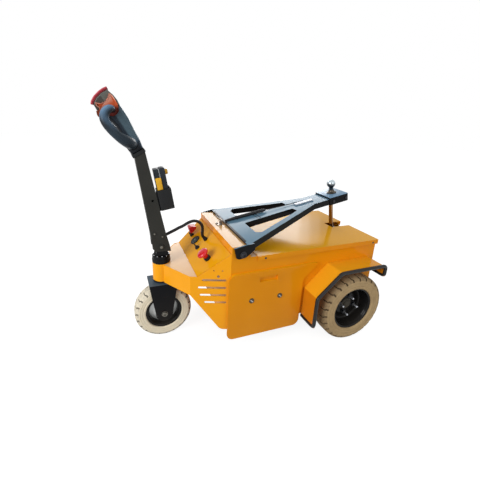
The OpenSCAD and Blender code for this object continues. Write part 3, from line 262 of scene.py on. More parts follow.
# a darker copy of the yellow enamel for the fenders, as painted shade on their walls, with a lighter colour on their
# tops as painted light
deeper = {**yellow, "light": (0.66, 0.215, 0.005), "dark": (0.62, 0.2, 0.004), "low": 0.3, "high": 0.6}
fenderEnamel = enamel("fender_enamel", paintedTopLight=(0.88, 0.385, 0.012), **deeper)
blackEnamel = enamel("black_enamel", (0.0065, 0.007, 0.008), (0.0045, 0.0048, 0.0055), 0.16, gloss=0.1, dust=0.03)
# the hitch arm and the ball plate are painted slate-blue on upward faces, as a painted reflection of the sky
armBlack = {"light": (0.007, 0.0075, 0.009), "dark": (0.0055, 0.0058, 0.007), "gloss": 0.09, "dust": 0.02}
armEnamel = enamel("arm_enamel", rough=0.14, paintedTopLight=(0.12, 0.225, 0.315), **armBlack)
plateEnamel = enamel("plate_enamel", rough=0.12, paintedTopLight=(0.19, 0.33, 0.48), **armBlack)
# the fork is painted slate-blue on upward faces, as a painted reflection of the sky
forkEnamel = enamel("fork_enamel", (0.006, 0.0068, 0.0088), (0.0045, 0.005, 0.0066), 0.34, gloss=0.08, peel=0.1,
                    dust=0.03, paintedTopLight=(0.06, 0.095, 0.13))
columnEnamel = enamel("column_enamel", (0.03, 0.03, 0.026), (0.023, 0.023, 0.02), 0.5, gloss=0.16, peel=0.25,
                      dust=0.03)
castPaint = enamel("cast_paint", (0.045, 0.046, 0.05), (0.03, 0.031, 0.034), 0.5, gloss=0.25, peel=0.4, dust=0.25)


# Solid tyre rubber: smooth sidewall, and a tread that carries dirt outside a radius round the axle
def tyreRubber(name, axle, treadFrom, side, tread, grime):
    p = Paint(name, Specular_IOR_Level=0.2)
    centre = spot(axle[0], 0, axle[1])
    across, up = p.axis("X") - centre.x, p.axis("Z") - centre.z
    radius = (across * across + up * up) ** 0.5
    treadPart = p.step(radius, treadFrom - 0.004, treadFrom + 0.003)
    cloud = p.noise(22, 5, 0.6)
    speck = p.noise(190, 5, 0.7)
    smear = p.noise(60, 6, 0.7)
    plain = p.mix(p.step(cloud, 0.35, 0.7) * 0.5, side, tread)
    worn = p.mix(p.limited(p.step(smear, 0.42, 0.66) * 0.55 + p.step(speck, 0.5, 0.75) * 0.3), tread, grime)
    grooveDarkness = p.node("ShaderNodeAttribute", {"attribute_name": "grooveDarkness"}, None, "Fac")   # 1 in the grooves
    colour = p.mix(treadPart, plain, worn)
    # the grooves and their walls are painted darker, down to 0.35 of the grime colour
    p.put(Base_Color=p.mix(p.limited(grooveDarkness * 0.8), colour, tuple(c * 0.35 for c in grime)),
          Roughness=p.limited(0.62 + cloud * 0.14 + treadPart * 0.12))
    p.bump(speck + cloud * 0.5, 0.22, 0.0008)
    return p.material


rearRubber = tyreRubber("rear_tyre_rubber", axles["rear"], 0.173, (0.49, 0.345, 0.175), (0.38, 0.265, 0.14),
                        (0.2, 0.14, 0.08))
frontRubber = tyreRubber("front_tyre_rubber", axles["front"], 0.134, (0.9, 0.8, 0.6), (0.8, 0.72, 0.56),
                         (0.4, 0.37, 0.32))


# Moulded plastic and rubber: fine grain, and a slow change of gloss; a lighter colour may be laid on upward faces as
# painted light
def moulded(name, light, dark, rough, grain=0.15, coat=0.0, gloss=0.25, paintedUpperLight=None, low=-0.5, high=0.95):
    p = Paint(name, Specular_IOR_Level=gloss)
    cloud = p.noise(14, 3)
    fine = p.noise(fineGrain, 3, 0.6)
    colour = p.mix(p.step(cloud, 0.3, 0.72), light, dark)
    if paintedUpperLight:
        colour = p.mix(p.facing(low, high), colour, paintedUpperLight)
    p.put(Base_Color=p.mix(p.step(fine, 0.45, 0.8) * 0.25, colour, dark),
          Roughness=p.limited(rough + cloud * 0.12 - 0.04), Coat_Weight=coat)
    p.bump(fine, grain, 0.0004)
    return p.material


edgeRubber = moulded("edge_rubber", (0.012, 0.011, 0.011), (0.008, 0.008, 0.008), 0.4, gloss=0.3)
cableRubber = moulded("cable_rubber", (0.012, 0.012, 0.014), (0.008, 0.008, 0.009), 0.36)


# The tiller head's plastics are painted lighter on upward faces as painted light, and their zones add painted shade and
# painted highlights: a zone's limits, in millimetres, say where its colour fades in
def headPlastic(name, ground, rough, paintedUpperLight, low, high, zones):
    p = Paint(name, Specular_IOR_Level=0.12)
    origin = head.to_translation()
    across, up = p.axis("X") - origin.x, p.axis("Z") - origin.z
    lean = math.radians(30)    # of the head from upright
    places = {"rearward": across * math.cos(lean) + up * math.sin(lean),
              "height": up * math.cos(lean) - across * math.sin(lean),
              "outward": abs(p.axis("Y"))}
    fine = p.noise(fineGrain, 3, 0.6)
    colour = p.mix(p.facing(low, high), ground, paintedUpperLight)
    for zoneColour, limits in zones:
        share = 1.0
        for place, start, stop in limits:
            share = p.step(places[place], start / 1000, stop / 1000) * share
        colour = p.mix(share, colour, zoneColour)
    p.put(Base_Color=p.mix(p.step(fine, 0.45, 0.8) * 0.2, colour, tuple(c * 0.8 for c in ground)),
          Roughness=p.limited(rough + p.noise(14, 3) * 0.1))
    p.bump(fine, 0.06, 0.0004)
    return p.material


# slate-blue on upward faces as painted light from above, a dark zone on the loops' middle as painted shade, and a
# lighter zone on the core's sides as painted light
gripPlastic = headPlastic("grip_plastic", (0.014, 0.016, 0.02), 0.32, (0.155, 0.28, 0.43), -0.2, 0.95,
                          [((0.03, 0.045, 0.06), [("outward", 46, 58), ("height", 205, 125)]),
                           ((0.105, 0.165, 0.205), [("outward", 46, 40), ("rearward", 0, 12), ("height", 50, 72)])])
# the nose's upward-tilted facet is painted lighter than the other, as painted light from above
nosePlastic = moulded("nose_plastic", (0.062, 0.06, 0.054), (0.052, 0.05, 0.045), 0.42, gloss=0.12,
                      paintedUpperLight=(0.125, 0.135, 0.122), low=-0.07, high=0.03)
# pinkish on upward faces as painted light, dark on the lower part as painted shade, and a pale band on the outer face's
# upper part as a painted highlight
rockerPlastic = headPlastic("rocker_plastic", (0.5, 0.085, 0.026), 0.3, (0.7, 0.25, 0.16), -0.1, 0.8,
                            [((0.11, 0.018, 0.014), [("height", 222, 202)]),
                             ((0.86, 0.4, 0.29), [("outward", 55.5, 58), ("height", 226, 246)])])
# the belly button's crown is painted lighter on upward faces, as painted light
capPlastic = moulded("cap_plastic", (0.5, 0.055, 0.075), (0.42, 0.04, 0.055), 0.3, grain=0.05, coat=0.1,
                     paintedUpperLight=(0.58, 0.13, 0.165), low=0.1)
capRim = moulded("cap_rim_plastic", (0.2, 0.012, 0.018), (0.14, 0.008, 0.012), 0.4)
stopPlastic = moulded("stop_plastic", (0.7, 0.006, 0.016), (0.6, 0.004, 0.01), 0.22, coat=0.5)
plugPlastic = moulded("plug_plastic", (0.62, 0.012, 0.018), (0.5, 0.008, 0.012), 0.34, coat=0.2)
blackPlastic = moulded("black_plastic", (0.014, 0.015, 0.016), (0.009, 0.01, 0.011), 0.4, gloss=0.2)
slatePlastic = moulded("slate_plastic", (0.018, 0.024, 0.032), (0.013, 0.017, 0.022), 0.38, gloss=0.2)
yellowPlastic = moulded("yellow_plastic", (0.84, 0.46, 0.022), (0.76, 0.4, 0.016), 0.34, coat=0.2)
paleStrip = moulded("pale_strip", (0.55, 0.58, 0.6), (0.46, 0.48, 0.5), 0.4)
batteryCase = moulded("battery_case", (0.06, 0.062, 0.068), (0.045, 0.047, 0.052), 0.5)


# Metal with fine scratches and brown stains; under is a dark colour laid on faces that look down, as painted shade and
# painted dark reflection
def metal(name, light, dark, rough, scratch=(260, 260, 30), spots=0.0, under=None):
    p = Paint(name)
    stretched = p.node("ShaderNodeMapping", None, {"Vector": p.places, "Scale": scratch})
    lines = p.noise(1.0, 4, 0.6, stretched)
    cloud = p.noise(30, 4)
    stain = p.step(p.noise(90, 6, 0.7), 0.55, 0.8) * spots
    colour = p.mix(stain, p.mix(lines, light, dark), (0.2, 0.12, 0.06))
    if under:
        colour = p.mix(p.facing(-0.3, 0.55), under, colour)
    p.put(Base_Color=colour, Metallic=p.limited(1 - stain * 0.8),
          Roughness=p.limited(rough + lines * 0.1 + stain * 0.4 + cloud * 0.05))
    p.bump(lines, 0.06, 0.0003)
    return p.material


zincSteel = metal("zinc_steel", (0.52, 0.52, 0.52), (0.38, 0.38, 0.37), 0.28, spots=0.2)
brightSteel = metal("bright_steel", (0.62, 0.63, 0.65), (0.46, 0.47, 0.49), 0.18)
dullSteel = metal("dull_steel", (0.2, 0.19, 0.165), (0.12, 0.115, 0.1), 0.38, spots=0.4)
darkSteel = metal("dark_steel", (0.05, 0.052, 0.06), (0.028, 0.03, 0.034), 0.34, spots=0.15)
# the ball is painted dark on faces that look down, as painted shade and painted dark reflection
ballChrome = metal("ball_chrome", (0.62, 0.7, 0.74), (0.46, 0.52, 0.56), 0.06, under=(0.075, 0.08, 0.085))
bracketSteel = metal("bracket_steel", (0.34, 0.29, 0.25), (0.22, 0.19, 0.16), 0.3, spots=0.3)
collarSteel = metal("collar_steel", (0.12, 0.105, 0.085), (0.06, 0.052, 0.042), 0.26, spots=0.2)
# the lift rod's chrome is tinted brown, as a painted reflection of the yellow lid and the dark surroundings
rodChrome = metal("rod_chrome", (0.34, 0.21, 0.115), (0.22, 0.13, 0.065), 0.12, scratch=(900, 900, 40), spots=0.12)
lockSteel = metal("lock_steel", (0.115, 0.095, 0.065), (0.07, 0.058, 0.04), 0.4, spots=0.4)
latchSteel = metal("latch_steel", (0.58, 0.6, 0.64), (0.46, 0.48, 0.52), 0.42)
discSteel = metal("disc_steel", (0.55, 0.56, 0.55), (0.42, 0.43, 0.42), 0.45, spots=0.3)

# Hub face of the rear wheel: black paint under road dust
hubDust = enamel("hub_dust", (0.034, 0.032, 0.027), (0.018, 0.018, 0.016), 0.42, gloss=0.15, peel=0.3, dust=0.5,
                 dustColour=(0.19, 0.16, 0.11))

dialFace = moulded("dial_face", (0.03, 0.046, 0.04), (0.022, 0.034, 0.03), 0.3, gloss=0.1)
dialMark = moulded("dial_mark", (0.42, 0.45, 0.42), (0.35, 0.38, 0.36), 0.4)


# Mesh helpers; every shape is drawn in millimetres in its part's own frame
def asObject(name, shape):
    data = bpy.data.meshes.new(name)
    shape.to_mesh(data)
    shape.free()
    return bpy.data.objects.new(name, data)


def asShape(data):
    shape = bmesh.new()
    shape.from_mesh(data)
    bpy.data.meshes.remove(data)
    return shape


def moved(shape, matrix):
    bmesh.ops.transform(shape, matrix=matrix, verts=shape.verts)
    if matrix.determinant() < 0:
        bmesh.ops.reverse_faces(shape, faces=shape.faces)
    return shape


def merged(*shapes):
    whole = bmesh.new()
    for shape in shapes:
        data = bpy.data.meshes.new("share")
        shape.to_mesh(data)
        shape.free()
        whole.from_mesh(data)
        bpy.data.meshes.remove(data)
    return whole


# What make() draws on the left, on both sides
def mirrored(make):
    return [moved(make(), flip) for flip in bothSides.values()]


def dress(piece, paint, body, nodes="", sharp=32, edge=0.0, segments=2):
    data = piece.data
    data.materials.append(paint)
    data.polygons.foreach_set("use_smooth", [True] * len(data.polygons))
    data.set_sharp_from_angle(angle=math.radians(sharp))
    bpy.context.scene.collection.objects.link(piece)
    if edge:
        soft = piece.modifiers.new("edge", "BEVEL")
        soft.width, soft.segments, soft.limit_method = edge / 1000, segments, "ANGLE"
        soft.angle_limit, soft.harden_normals = math.radians(30), True
    if body:
        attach(piece, body)
    if nodes:
        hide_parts(*nodes.split())
    return piece


def placed(name, shape, at):
    bmesh.ops.remove_doubles(shape, verts=shape.verts, dist=0.001)
    bmesh.ops.transform(shape, matrix=at, verts=shape.verts)
    bmesh.ops.recalc_face_normals(shape, faces=shape.faces)
    return asObject(name, shape)


# A piece that stands for CAD nodes has the body of the first of them
def standIn(name, shape, at, paint, nodes, sharp=32):
    first = nodes.split()[0]
    dress(placed(name, shape, at), paint, bodyOf[first], nodes, sharp)


# A piece that the CAD leaves out
def detail(name, shape, at, paint, body, slotName, sharp=32):
    dress(placed(name, shape, at), paint, body, "", sharp)


# A CAD node's copy with its triangles joined to flat faces and its edges rounded;
# stretch moves what lies behind a place along X further back
def roundedCopy(node, paint, edge, segments=2, stretch=None):
    shape = bmesh.new()
    shape.from_mesh(frame["nodes"][node].data)
    for vert in shape.verts:
        if stretch and vert.co.x > spot(stretch[0], 0, 0).x:
            vert.co.x += stretch[1] / 1000
    bmesh.ops.remove_doubles(shape, verts=shape.verts, dist=0.00001)
    bmesh.ops.dissolve_limit(shape, angle_limit=math.radians(0.6), verts=shape.verts, edges=shape.edges)
    dress(asObject(node + "_skin", shape), paint, bodyOf[node], node, 32, edge, segments)


def paintNode(node, paint):
    holder = frame["nodes"][node]
    if not holder.material_slots:
        holder.data.materials.append(paint)
    for place in holder.material_slots:
        place.link = "OBJECT"
        place.material = paint


# A profile of (radius, distance along Y) points turned round the Y axis
def turned(profile, steps=64):
    shape = bmesh.new()
    dots = [shape.verts.new((r, along, 0)) for r, along in profile]
    count = len(dots) if profile[-1][0] else len(dots) - 1    # one that ends on the axis stays open
    lines = [shape.edges.new((dots[i], dots[(i + 1) % len(dots)])) for i in range(count)
             if (dots[i].co - dots[(i + 1) % len(dots)].co).length > 0.0005]
    bmesh.ops.spin(shape, geom=dots + lines, cent=(0, 0, 0), axis=(0, 1, 0), dvec=(0, 0, 0),
                   angle=math.tau, steps=steps, use_merge=True, use_duplicate=False)
    bmesh.ops.remove_doubles(shape, verts=shape.verts, dist=0.0005)
    onAxis = [e for e in shape.edges if not e.link_faces]
    bmesh.ops.delete(shape, geom=onAxis, context="EDGES")
    bmesh.ops.recalc_face_normals(shape, faces=shape.faces)
    return shape


# A profile that starts and ends on its axis, turned round Z
def post(profile, steps=48):
    return moved(turned(profile, steps), standUp)


def bothHalves(section):
    return section + [(r, -along) for r, along in reversed(section)]


# A turned face's distance from the axis, its place along it, and the step of the spin that made it
def spinPlace(face, steps):
    middle = face.calc_center_median()
    step = int((math.atan2(middle.z, middle.x) % math.tau) / math.tau * steps)
    return math.hypot(middle.x, middle.z), middle.y, step


def sink(shape, faces, rim, depth=0.0):
    return bmesh.ops.inset_region(shape, faces=faces, thickness=rim, depth=-depth, use_even_offset=True,
                                  use_boundary=True)["faces"]


# An outline in X and Z, as a plate from y0 to y1
def plate(outline, y0, y1):
    shape = bmesh.new()
    face = shape.faces.new([shape.verts.new((x, y0, z)) for x, z in outline])
    grown = bmesh.ops.extrude_face_region(shape, geom=[face])
    far = [v for v in grown["geom"] if isinstance(v, bmesh.types.BMVert)]
    bmesh.ops.translate(shape, vec=(0, y1 - y0, 0), verts=far)
    bmesh.ops.recalc_face_normals(shape, faces=shape.faces)
    return shape


def soften(shape, width, segments=3, angle=30, keep=None):
    edges = [e for e in shape.edges if len(e.link_faces) == 2 and e.calc_face_angle(0) > math.radians(angle)
             and (keep is None or keep(e))]
    bmesh.ops.bevel(shape, geom=edges, offset=width, offset_type="OFFSET", affect="EDGES", segments=segments,
                    profile=0.5, material=-1, clamp_overlap=True)
    return shape


def upright(edge, atLeast=1):
    return abs(edge.verts[0].co.z - edge.verts[1].co.z) > atLeast


def block(x0, y0, z0, x1, y1, z1, radius=0.0):
    shape = bmesh.new()
    size = Matrix.Diagonal((x1 - x0, y1 - y0, z1 - z0, 1))
    bmesh.ops.create_cube(shape, size=1, matrix=shift((x0 + x1) / 2, (y0 + y1) / 2, (z0 + z1) / 2) @ size)
    return soften(shape, radius) if radius else shape


# A round or hexagonal boss along +Z, with a softened rim
def boss(radius, depth, sides=32, rim=0.6):
    shape = bmesh.new()
    bmesh.ops.create_cone(shape, cap_ends=True, segments=sides, radius1=radius, radius2=radius, depth=depth,
                          matrix=shift(0, 0, depth / 2))
    return soften(shape, rim, 2, 40) if rim else shape


# Bosses on both sides with their heads outwards, from rows of x, y, z and a boss's sizes
def sideBosses(*rows):
    return merged(*[moved(boss(*sizes), shift(x, side * y, z) @ turnX(-90 * side))
                    for side in (1, -1) for x, y, z, *sizes in rows])


# A plate across the middle with softened edges
def slab(outline, half, radius, segments=3, angle=30):
    return soften(plate(outline, -half, half), radius, segments, angle)


# A curve guided by points, as a mesh tube; its radius may change along it
def tube(points, radius, sides=16, radii=None, resolution=6):
    data = bpy.data.curves.new("tube", "CURVE")
    data.dimensions, data.bevel_depth, data.bevel_resolution = "3D", radius, sides // 4 - 1
    data.use_fill_caps, data.resolution_u = True, resolution
    line = data.splines.new("NURBS")
    line.points.add(len(points) - 1)
    for i, point in enumerate(points):
        line.points[i].co = (*point, 1)
        line.points[i].radius = radii[i] if radii else 1
    line.use_endpoint_u, line.order_u = True, 4
    curve = bpy.data.objects.new("tube", data)
    shape = asShape(bpy.data.meshes.new_from_object(curve))
    bpy.data.objects.remove(curve)
    bpy.data.curves.remove(data)
    return shape


print("stage: cords")
# The tiller's cable in two stretches, in the source drawing's millimetres
cable = {
    "diameter": 16, "sides": 20, "pointsPerSpan": 3,
    "route": [(-730.347, 11, 535.844), (-737.859, 11, 545.202), (-741, 8, 563), (-741, 4, 586), (-746, 0, 611),
              (-762, -3, 632), (-790, -5, 642), (-820, -5, 635), (-848, -3, 619)],
    "last": [(-848, -3, 619), (-870, -2, 610), (-888, -2, 601.5), (-912, -1, 590.5), (-929.9, 0, 582.1),
             (-939.9, 0, 580.1)],
}


def smoothRoute(points, perSpan):
    # Catmull-Rom points along the route
    line = []
    ends = [points[0] * 2 - points[1], *points, points[-1] * 2 - points[-2]]
    for i in range(1, len(ends) - 2):
        a, b, c, d = ends[i - 1:i + 3]
        for k in range(perSpan):
            t = k / perSpan
            line.append(0.5 * ((2 * b) + (c - a) * t + (2 * a - 5 * b + 4 * c - d) * t ** 2
                               + (3 * b - a - 3 * c + d) * t ** 3))
    return [*line, points[-1]]


def cordPiece(name, line, node):
    points = [spot(*p) for p in line]
    radius = cable["diameter"] / 2000
    shape = bmesh.new()
    ring = bmesh.ops.create_circle(shape, cap_ends=True, radius=radius, segments=cable["sides"])["verts"]
    aim = points[1] - points[0]
    begin = aim.to_track_quat("Z", "Y").to_matrix().to_4x4()
    bmesh.ops.transform(shape, matrix=Matrix.Translation(points[0]) @ begin, verts=ring)
    face = shape.faces[:][0]
    for i in range(1, len(points)):
        after = points[min(i + 1, len(points) - 1)] - points[i - 1]
        grown = bmesh.ops.extrude_face_region(shape, geom=[face])["geom"]
        loop = [v for v in grown if isinstance(v, bmesh.types.BMVert)]
        face = next(f for f in grown if isinstance(f, bmesh.types.BMFace))
        bend = aim.rotation_difference(after).to_matrix().to_4x4()
        move = Matrix.Translation(points[i]) @ bend @ Matrix.Translation(-points[i - 1])
        bmesh.ops.transform(shape, matrix=move, verts=loop)
        aim = after
    inner = [f for f in shape.faces if len(f.verts) > 4 and (f.calc_center_median() - points[0]).length > 1e-5
             and (f.calc_center_median() - points[-1]).length > 1e-5]
    bmesh.ops.delete(shape, geom=inner, context="FACES_ONLY")
    bmesh.ops.recalc_face_normals(shape, faces=shape.faces)
    piece = dress(asObject(name, shape), cableRubber, None, node, 40)
    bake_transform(piece)


wholeRoute = [Vector(p) for p in cable["route"] + cable["last"][1:]]
cableLine = smoothRoute(wholeRoute, cable["pointsPerSpan"])
cut = cable["pointsPerSpan"] * (len(cable["route"]) - 1)
cordPiece("tiller_cord", cableLine[:cut + 1], "tiller_cable")
cordPiece("tiller_cord_end", cableLine[cut:], "tiller_cable_end")

print("stage: sheet metal")
for node, paint, edge in (
        ("lid", yellowEnamel, 1.3), ("console_panel", yellowEnamel, 1.0), ("cowl_side_l", cowlEnamel, 1.2),
        ("cowl_side_r", cowlEnamel, 1.2), ("head_tube", cowlEnamel, 1.5), ("fender_l", fenderEnamel, 1.4),
        ("fender_r", fenderEnamel, 1.4), ("body_shell", bridgeEnamel, 1.3), ("neck_plates", neckEnamel, 1.0),
        ("hitch_arm", armEnamel, 1.8), ("lift_mount", blackEnamel, 1.5), ("fork", forkEnamel, 1.6),
        ("tiller_column", columnEnamel, 1.2), ("lift_barrel", blackEnamel, 1.2), ("lift_rod", rodChrome, 1.0),
        ("cable_bracket", bracketSteel, 0.6)):
    roundedCopy(node, paint, edge)
# the photo has the covers' rear edges a little nearer to the fenders
for node in ("side_cover_l", "side_cover_r"):
    roundedCopy(node, yellowEnamel, 1.6, stretch=(-335, 20))
for node, paint in (("floor_pan", blackEnamel), ("drive_axle", castPaint), ("drive_motor", castPaint),
                    ("battery", batteryCase), ("steer_stem", zincSteel)):
    paintNode(node, paint)

print("stage: wheels")
tyres = {
    "rear": {
        "section": [(121.5, 50), (124, 54.5), (129, 56.4), (135, 56.6), (137.5, 55), (140, 55), (142.5, 56.4),
                    (154, 56.2), (156.5, 55.4), (158.5, 55.4), (160, 57), (165, 56.8), (171, 55.8), (176, 54.2),
                    (180.5, 51.4), (185, 47), (188, 41), (189.8, 33), (190.5, 24), (190.5, 10)],
        "blocks": 26, "laneFrom": 16, "kinks": (47, 42), "sideFrom": 168,
    },
    "front": {
        "section": [(95.5, 38), (97.5, 42), (101, 43.6), (106, 43.6), (108, 42.4), (110, 42.4), (112, 43.4),
                    (121, 43.2), (123, 42.6), (124.5, 42.6), (126, 44), (130, 43.6), (134, 42.8), (138, 41),
                    (141.5, 38.6), (145, 35.4), (147.8, 31), (149.6, 26), (151, 19), (151, 8)],
        "blocks": 22, "laneFrom": 12, "kinks": (36, 30), "sideFrom": 133,
    },
    "columns": 9, "grooveRim": 0.5, "grooveDepth": 6.5,
}
driven = {
    "middle": 334,
    "rim": [(33, 325), (64, 325), (70, 323.5), (76, 319), (84, 316.5), (94, 316.5), (99, 318.5), (102.5, 323),
            (104, 332), (104.5, 352), (105.5, 362), (108.5, 368), (110, 372), (111.5, 378), (114.5, 381.8), (118, 383),
            (120.6, 382), (121, 379.6), (120, 377.5), (113, 371), (111, 366), (111, 302), (113, 297), (121, 289),
            (121, 286), (118, 285), (114, 286.5), (107, 296), (105.5, 310), (96, 312), (78, 312), (71, 319), (66, 320),
            (33, 320)],
    "hub": [(0, 299.4), (66, 299.4), (66, 319.4), (36, 319.6), (33, 321), (33, 327), (31, 330.5), (26, 332), (22, 332),
            (20, 336), (17, 338.5), (10, 340), (0, 340.4)],
    "studCircle": 50, "studTurns": (13, 103, 193, 283),
}
guide = {
    "halfRim": [(74, 9), (76, 20), (80, 30), (86, 36), (90, 38), (94, 38), (95, 36.5), (94.6, 34.5), (84, 27),
                (82, 22)],
    "halfDisc": [(10.05, 51), (24, 51), (26, 49), (26, 20), (30, 14), (52, 11), (62, 8), (75, 6)],
    "shaft": [(0, -64), (10, -64), (10, 64), (0, 64)],
    "boltEnd": [(9.5, 60.2), (16, 60.2), (16.5, 60.8), (16.5, 62.6), (16, 63.2), (13.6, 63.2), (13.2, 64.5), (13, 68.5),
                (11.8, 69.8), (7.4, 69.8), (6.6, 69), (6.6, 65), (0, 64.6)],
}


# Solid tyre: a turned section, with kinked grooves let into both shoulders
def makeTyre(setup):
    steps = setup["blocks"] * tyres["columns"]
    shape = turned(bothHalves(setup["section"]), steps)

    def inGroove(face):
        radius, along, step = spinPlace(face, steps)
        if abs(along) < setup["laneFrom"] or radius < setup["sideFrom"]:
            return False
        column = (step + (4 if along < 0 else 0)) % tyres["columns"]
        outer, inner = setup["kinks"]
        return column in ((1, 2) if abs(along) > outer else (2, 3) if abs(along) > inner else (3,))

    grooves = [f for f in shape.faces if inGroove(f)]
    walls = sink(shape, grooves, tyres["grooveRim"], tyres["grooveDepth"])
    # a mask of 1 in the grooves and 0.8 on their walls, where the tyre's material is painted darker
    grooveDarkness = shape.loops.layers.float_color.new("grooveDarkness")
    for faces, level in ((shape.faces, 0.0), (grooves, 1.0), (walls, 0.8)):
        for corner in (c for f in faces for c in f.loops):
            corner[grooveDarkness] = (level, level, level, 1)
    return shape


# A boss at each of the rear wheel's studs
def atStuds(along, radius, depth, sides, rim):
    return [moved(boss(radius, depth, sides, rim), turnY(turn) @ shift(driven["studCircle"], along, 0) @ turnX(-90))
            for turn in driven["studTurns"]]


for letter, flip in bothSides.items():
    wheel = rearAxle @ flip
    tyre = moved(makeTyre(tyres["rear"]), shift(0, driven["middle"], 0))
    standIn("rear_tyre_skin_" + letter, tyre, wheel, rearRubber, "rear_tyre_" + letter, 30)
    rim = turned(driven["rim"], 96)
    standIn("rear_rim_skin_" + letter, rim, wheel, blackEnamel, "rear_rim_" + letter, 40)
    hub = merged(turned(driven["hub"]), *atStuds(313, 7, 26, 24, 1.0))
    standIn("rear_hub_skin_" + letter, hub, wheel, hubDust, "rear_hub_" + letter, 40)
    nuts = merged(*atStuds(325.2, 13.5, 2.4, 32, 0.5), *atStuds(327.5, 12, 11, 6, 1.2))
    detail("rear_nuts_" + letter, nuts, wheel, darkSteel, "rear_wheel_" + letter, "zinc_steel")
    detail("rear_stud_tips_" + letter, merged(*atStuds(337, 5.2, 28, 20, 1.5)), wheel, latchSteel,
           "rear_wheel_" + letter, "zinc_steel")

tyre, rim = makeTyre(tyres["front"]), turned(bothHalves(guide["halfRim"]), 96)
standIn("front_tyre_skin", tyre, frontAxle, frontRubber, "front_tyre", 30)
standIn("front_rim_skin", rim, frontAxle, blackEnamel, "front_rim", 40)
disc = turned(bothHalves(guide["halfDisc"]), 72)
detail("front_disc", disc, frontAxle, discSteel, "front_wheel", "zinc_steel", 40)
axleBolt = merged(turned(guide["shaft"], 40), *mirrored(lambda: turned(guide["boltEnd"], 48)))
standIn("front_axle_bolt_skin", axleBolt, frontAxle, dullSteel, "front_axle_bolt", 40)

print("stage: steering cap")
steer = {
    "cap": [(0, 436.3), (45, 436.3), (46.6, 437.5), (47, 439.5), (47, 455), (46.2, 457), (44.4, 458), (44.2, 462),
            (45.2, 463), (45.2, 472), (44, 475), (41.5, 476.3), (30, 476.3), (28, 474), (0, 474)],
    "steps": 72, "knurlEvery": 6, "knurlDepth": 1.6,
    "lug": [(-32, 475), (38, 475), (36, 484), (19, 531), (17.6, 538), (12, 546), (3, 551), (-7, 551.3), (-16, 547),
            (-22, 539), (-23, 531)],
    "lugInner": 23, "lugOuter": 31, "pin": [(0, -31), (8, -31), (8, 31), (0, 31)],
    "ring": [(30, 328), (43, 328), (44, 329), (44, 331.4), (42.6, 332), (42.6, 333), (44, 333.6), (44, 336.2),
             (43, 337), (30, 337)],
    "studCircle": 39.5, "studs": 10, "studHeight": 475.6,
}


def inKnurl(face):
    radius, along, step = spinPlace(face, steer["steps"])
    return 440 < along < 455.5 and radius > 46 and step % steer["knurlEvery"] == 0


cap = turned(steer["cap"], steer["steps"])
sink(cap, [f for f in cap.faces if inKnurl(f)], 0.6, steer["knurlDepth"])
lugs = mirrored(lambda: plate(steer["lug"], steer["lugInner"], steer["lugOuter"]))
pin = moved(turned(steer["pin"], 32), shift(-2, 0, 531))
cap = merged(moved(cap, standUp), *lugs, pin)
standIn("steer_cap", cap, steering, blackEnamel, "steer_head", 35)
turns = [turnZ(18 + i * 360 / steer["studs"]) for i in range(steer["studs"])]
studs = merged(*[moved(boss(3.4, 3.2, 16, 0.9), turn @ shift(steer["studCircle"], 0, steer["studHeight"]))
                 for turn in turns])
detail("steer_studs", studs, steering, brightSteel, "steering_fork", "zinc_steel")
detail("bearing_ring", moved(turned(steer["ring"], 72), standUp), steering, darkSteel, "steering_fork", "black_paint")

print("stage: tiller")
roundedCopy("tiller_collar", blackPlastic, 2.4, 3)
columnBolts = sideBosses((-18, 40, 77, 4.2, 2.2, 20, 1.2), (16, 40, 53, 4.2, 2.2, 20, 1.2),
                         (0, 43, 0, 7.5, 2.5, 20, 1.2))
detail("column_bolts", columnBolts, tiller, dullSteel, "tiller", "zinc_steel")

print("stage: tiller head")
headForm = {
    "coreLevels": [  # front, rear, half width, height along the head
        (-29, 29, 33, 16.6), (-31, 31, 36, 30), (-33, 36, 38.5, 55), (-30, 37.5, 39, 80), (-25, 38.5, 39.5, 99),
        (-20, 41.5, 40, 125), (-19, 44.5, 40, 148), (-25, 45, 40.5, 175), (-36, 44, 42, 196), (-44, 43, 43, 214)],
    "corner": 13,
    "grip": [  # place on the +Y side, radius
        ((-3, 24, 52), 22), ((-4, 40, 58), 25), ((-7, 58, 64), 26), ((-11, 74, 73), 26), ((-18, 88, 86), 24.5),
        ((-26, 98, 102), 22), ((-33.5, 106, 121), 19.5), ((-40, 109, 144), 18.4), ((-43.5, 109.5, 166), 18.2),
        ((-43.5, 107, 187), 18.8), ((-38, 102, 204), 19.2), ((-27, 97, 215.5), 19), ((-14, 92, 221), 18.2),
        ((-2, 84, 221.5), 17), ((5, 73, 219), 15.4), ((7, 61, 215.5), 14), ((7.5, 48, 212), 13), ((8, 34, 208), 11)],
    "voxel": 2.1, "smoothing": 14,
    "nose": [(-49, 214), (-20, 211), (0, 211), (43, 212), (45, 236), (42, 259), (33, 285.6), (5, 284.6), (-21, 277.6),
             (-38, 268.6), (-46, 259.8)],
    "noseHalf": 46, "ridge": -2,
    "crown": [(-46, 260), (-38, 269), (-21, 278), (5, 285), (22, 286.5), (37, 285)],
}


# A rounded rectangle across the head, drawn by bevelling a square
def crossSection(front, rear, half, level):
    ring = bmesh.new()
    bmesh.ops.create_grid(ring, x_segments=1, y_segments=1, size=0.5)
    bmesh.ops.transform(ring, matrix=Matrix.Diagonal((rear - front, 2 * half, 1, 1)), verts=ring.verts)
    bmesh.ops.bevel(ring, geom=ring.verts[:], offset=headForm["corner"], offset_type="OFFSET", affect="VERTICES",
                    segments=6, profile=0.5, material=-1, clamp_overlap=True)
    return moved(ring, shift((front + rear) / 2, 0, level))


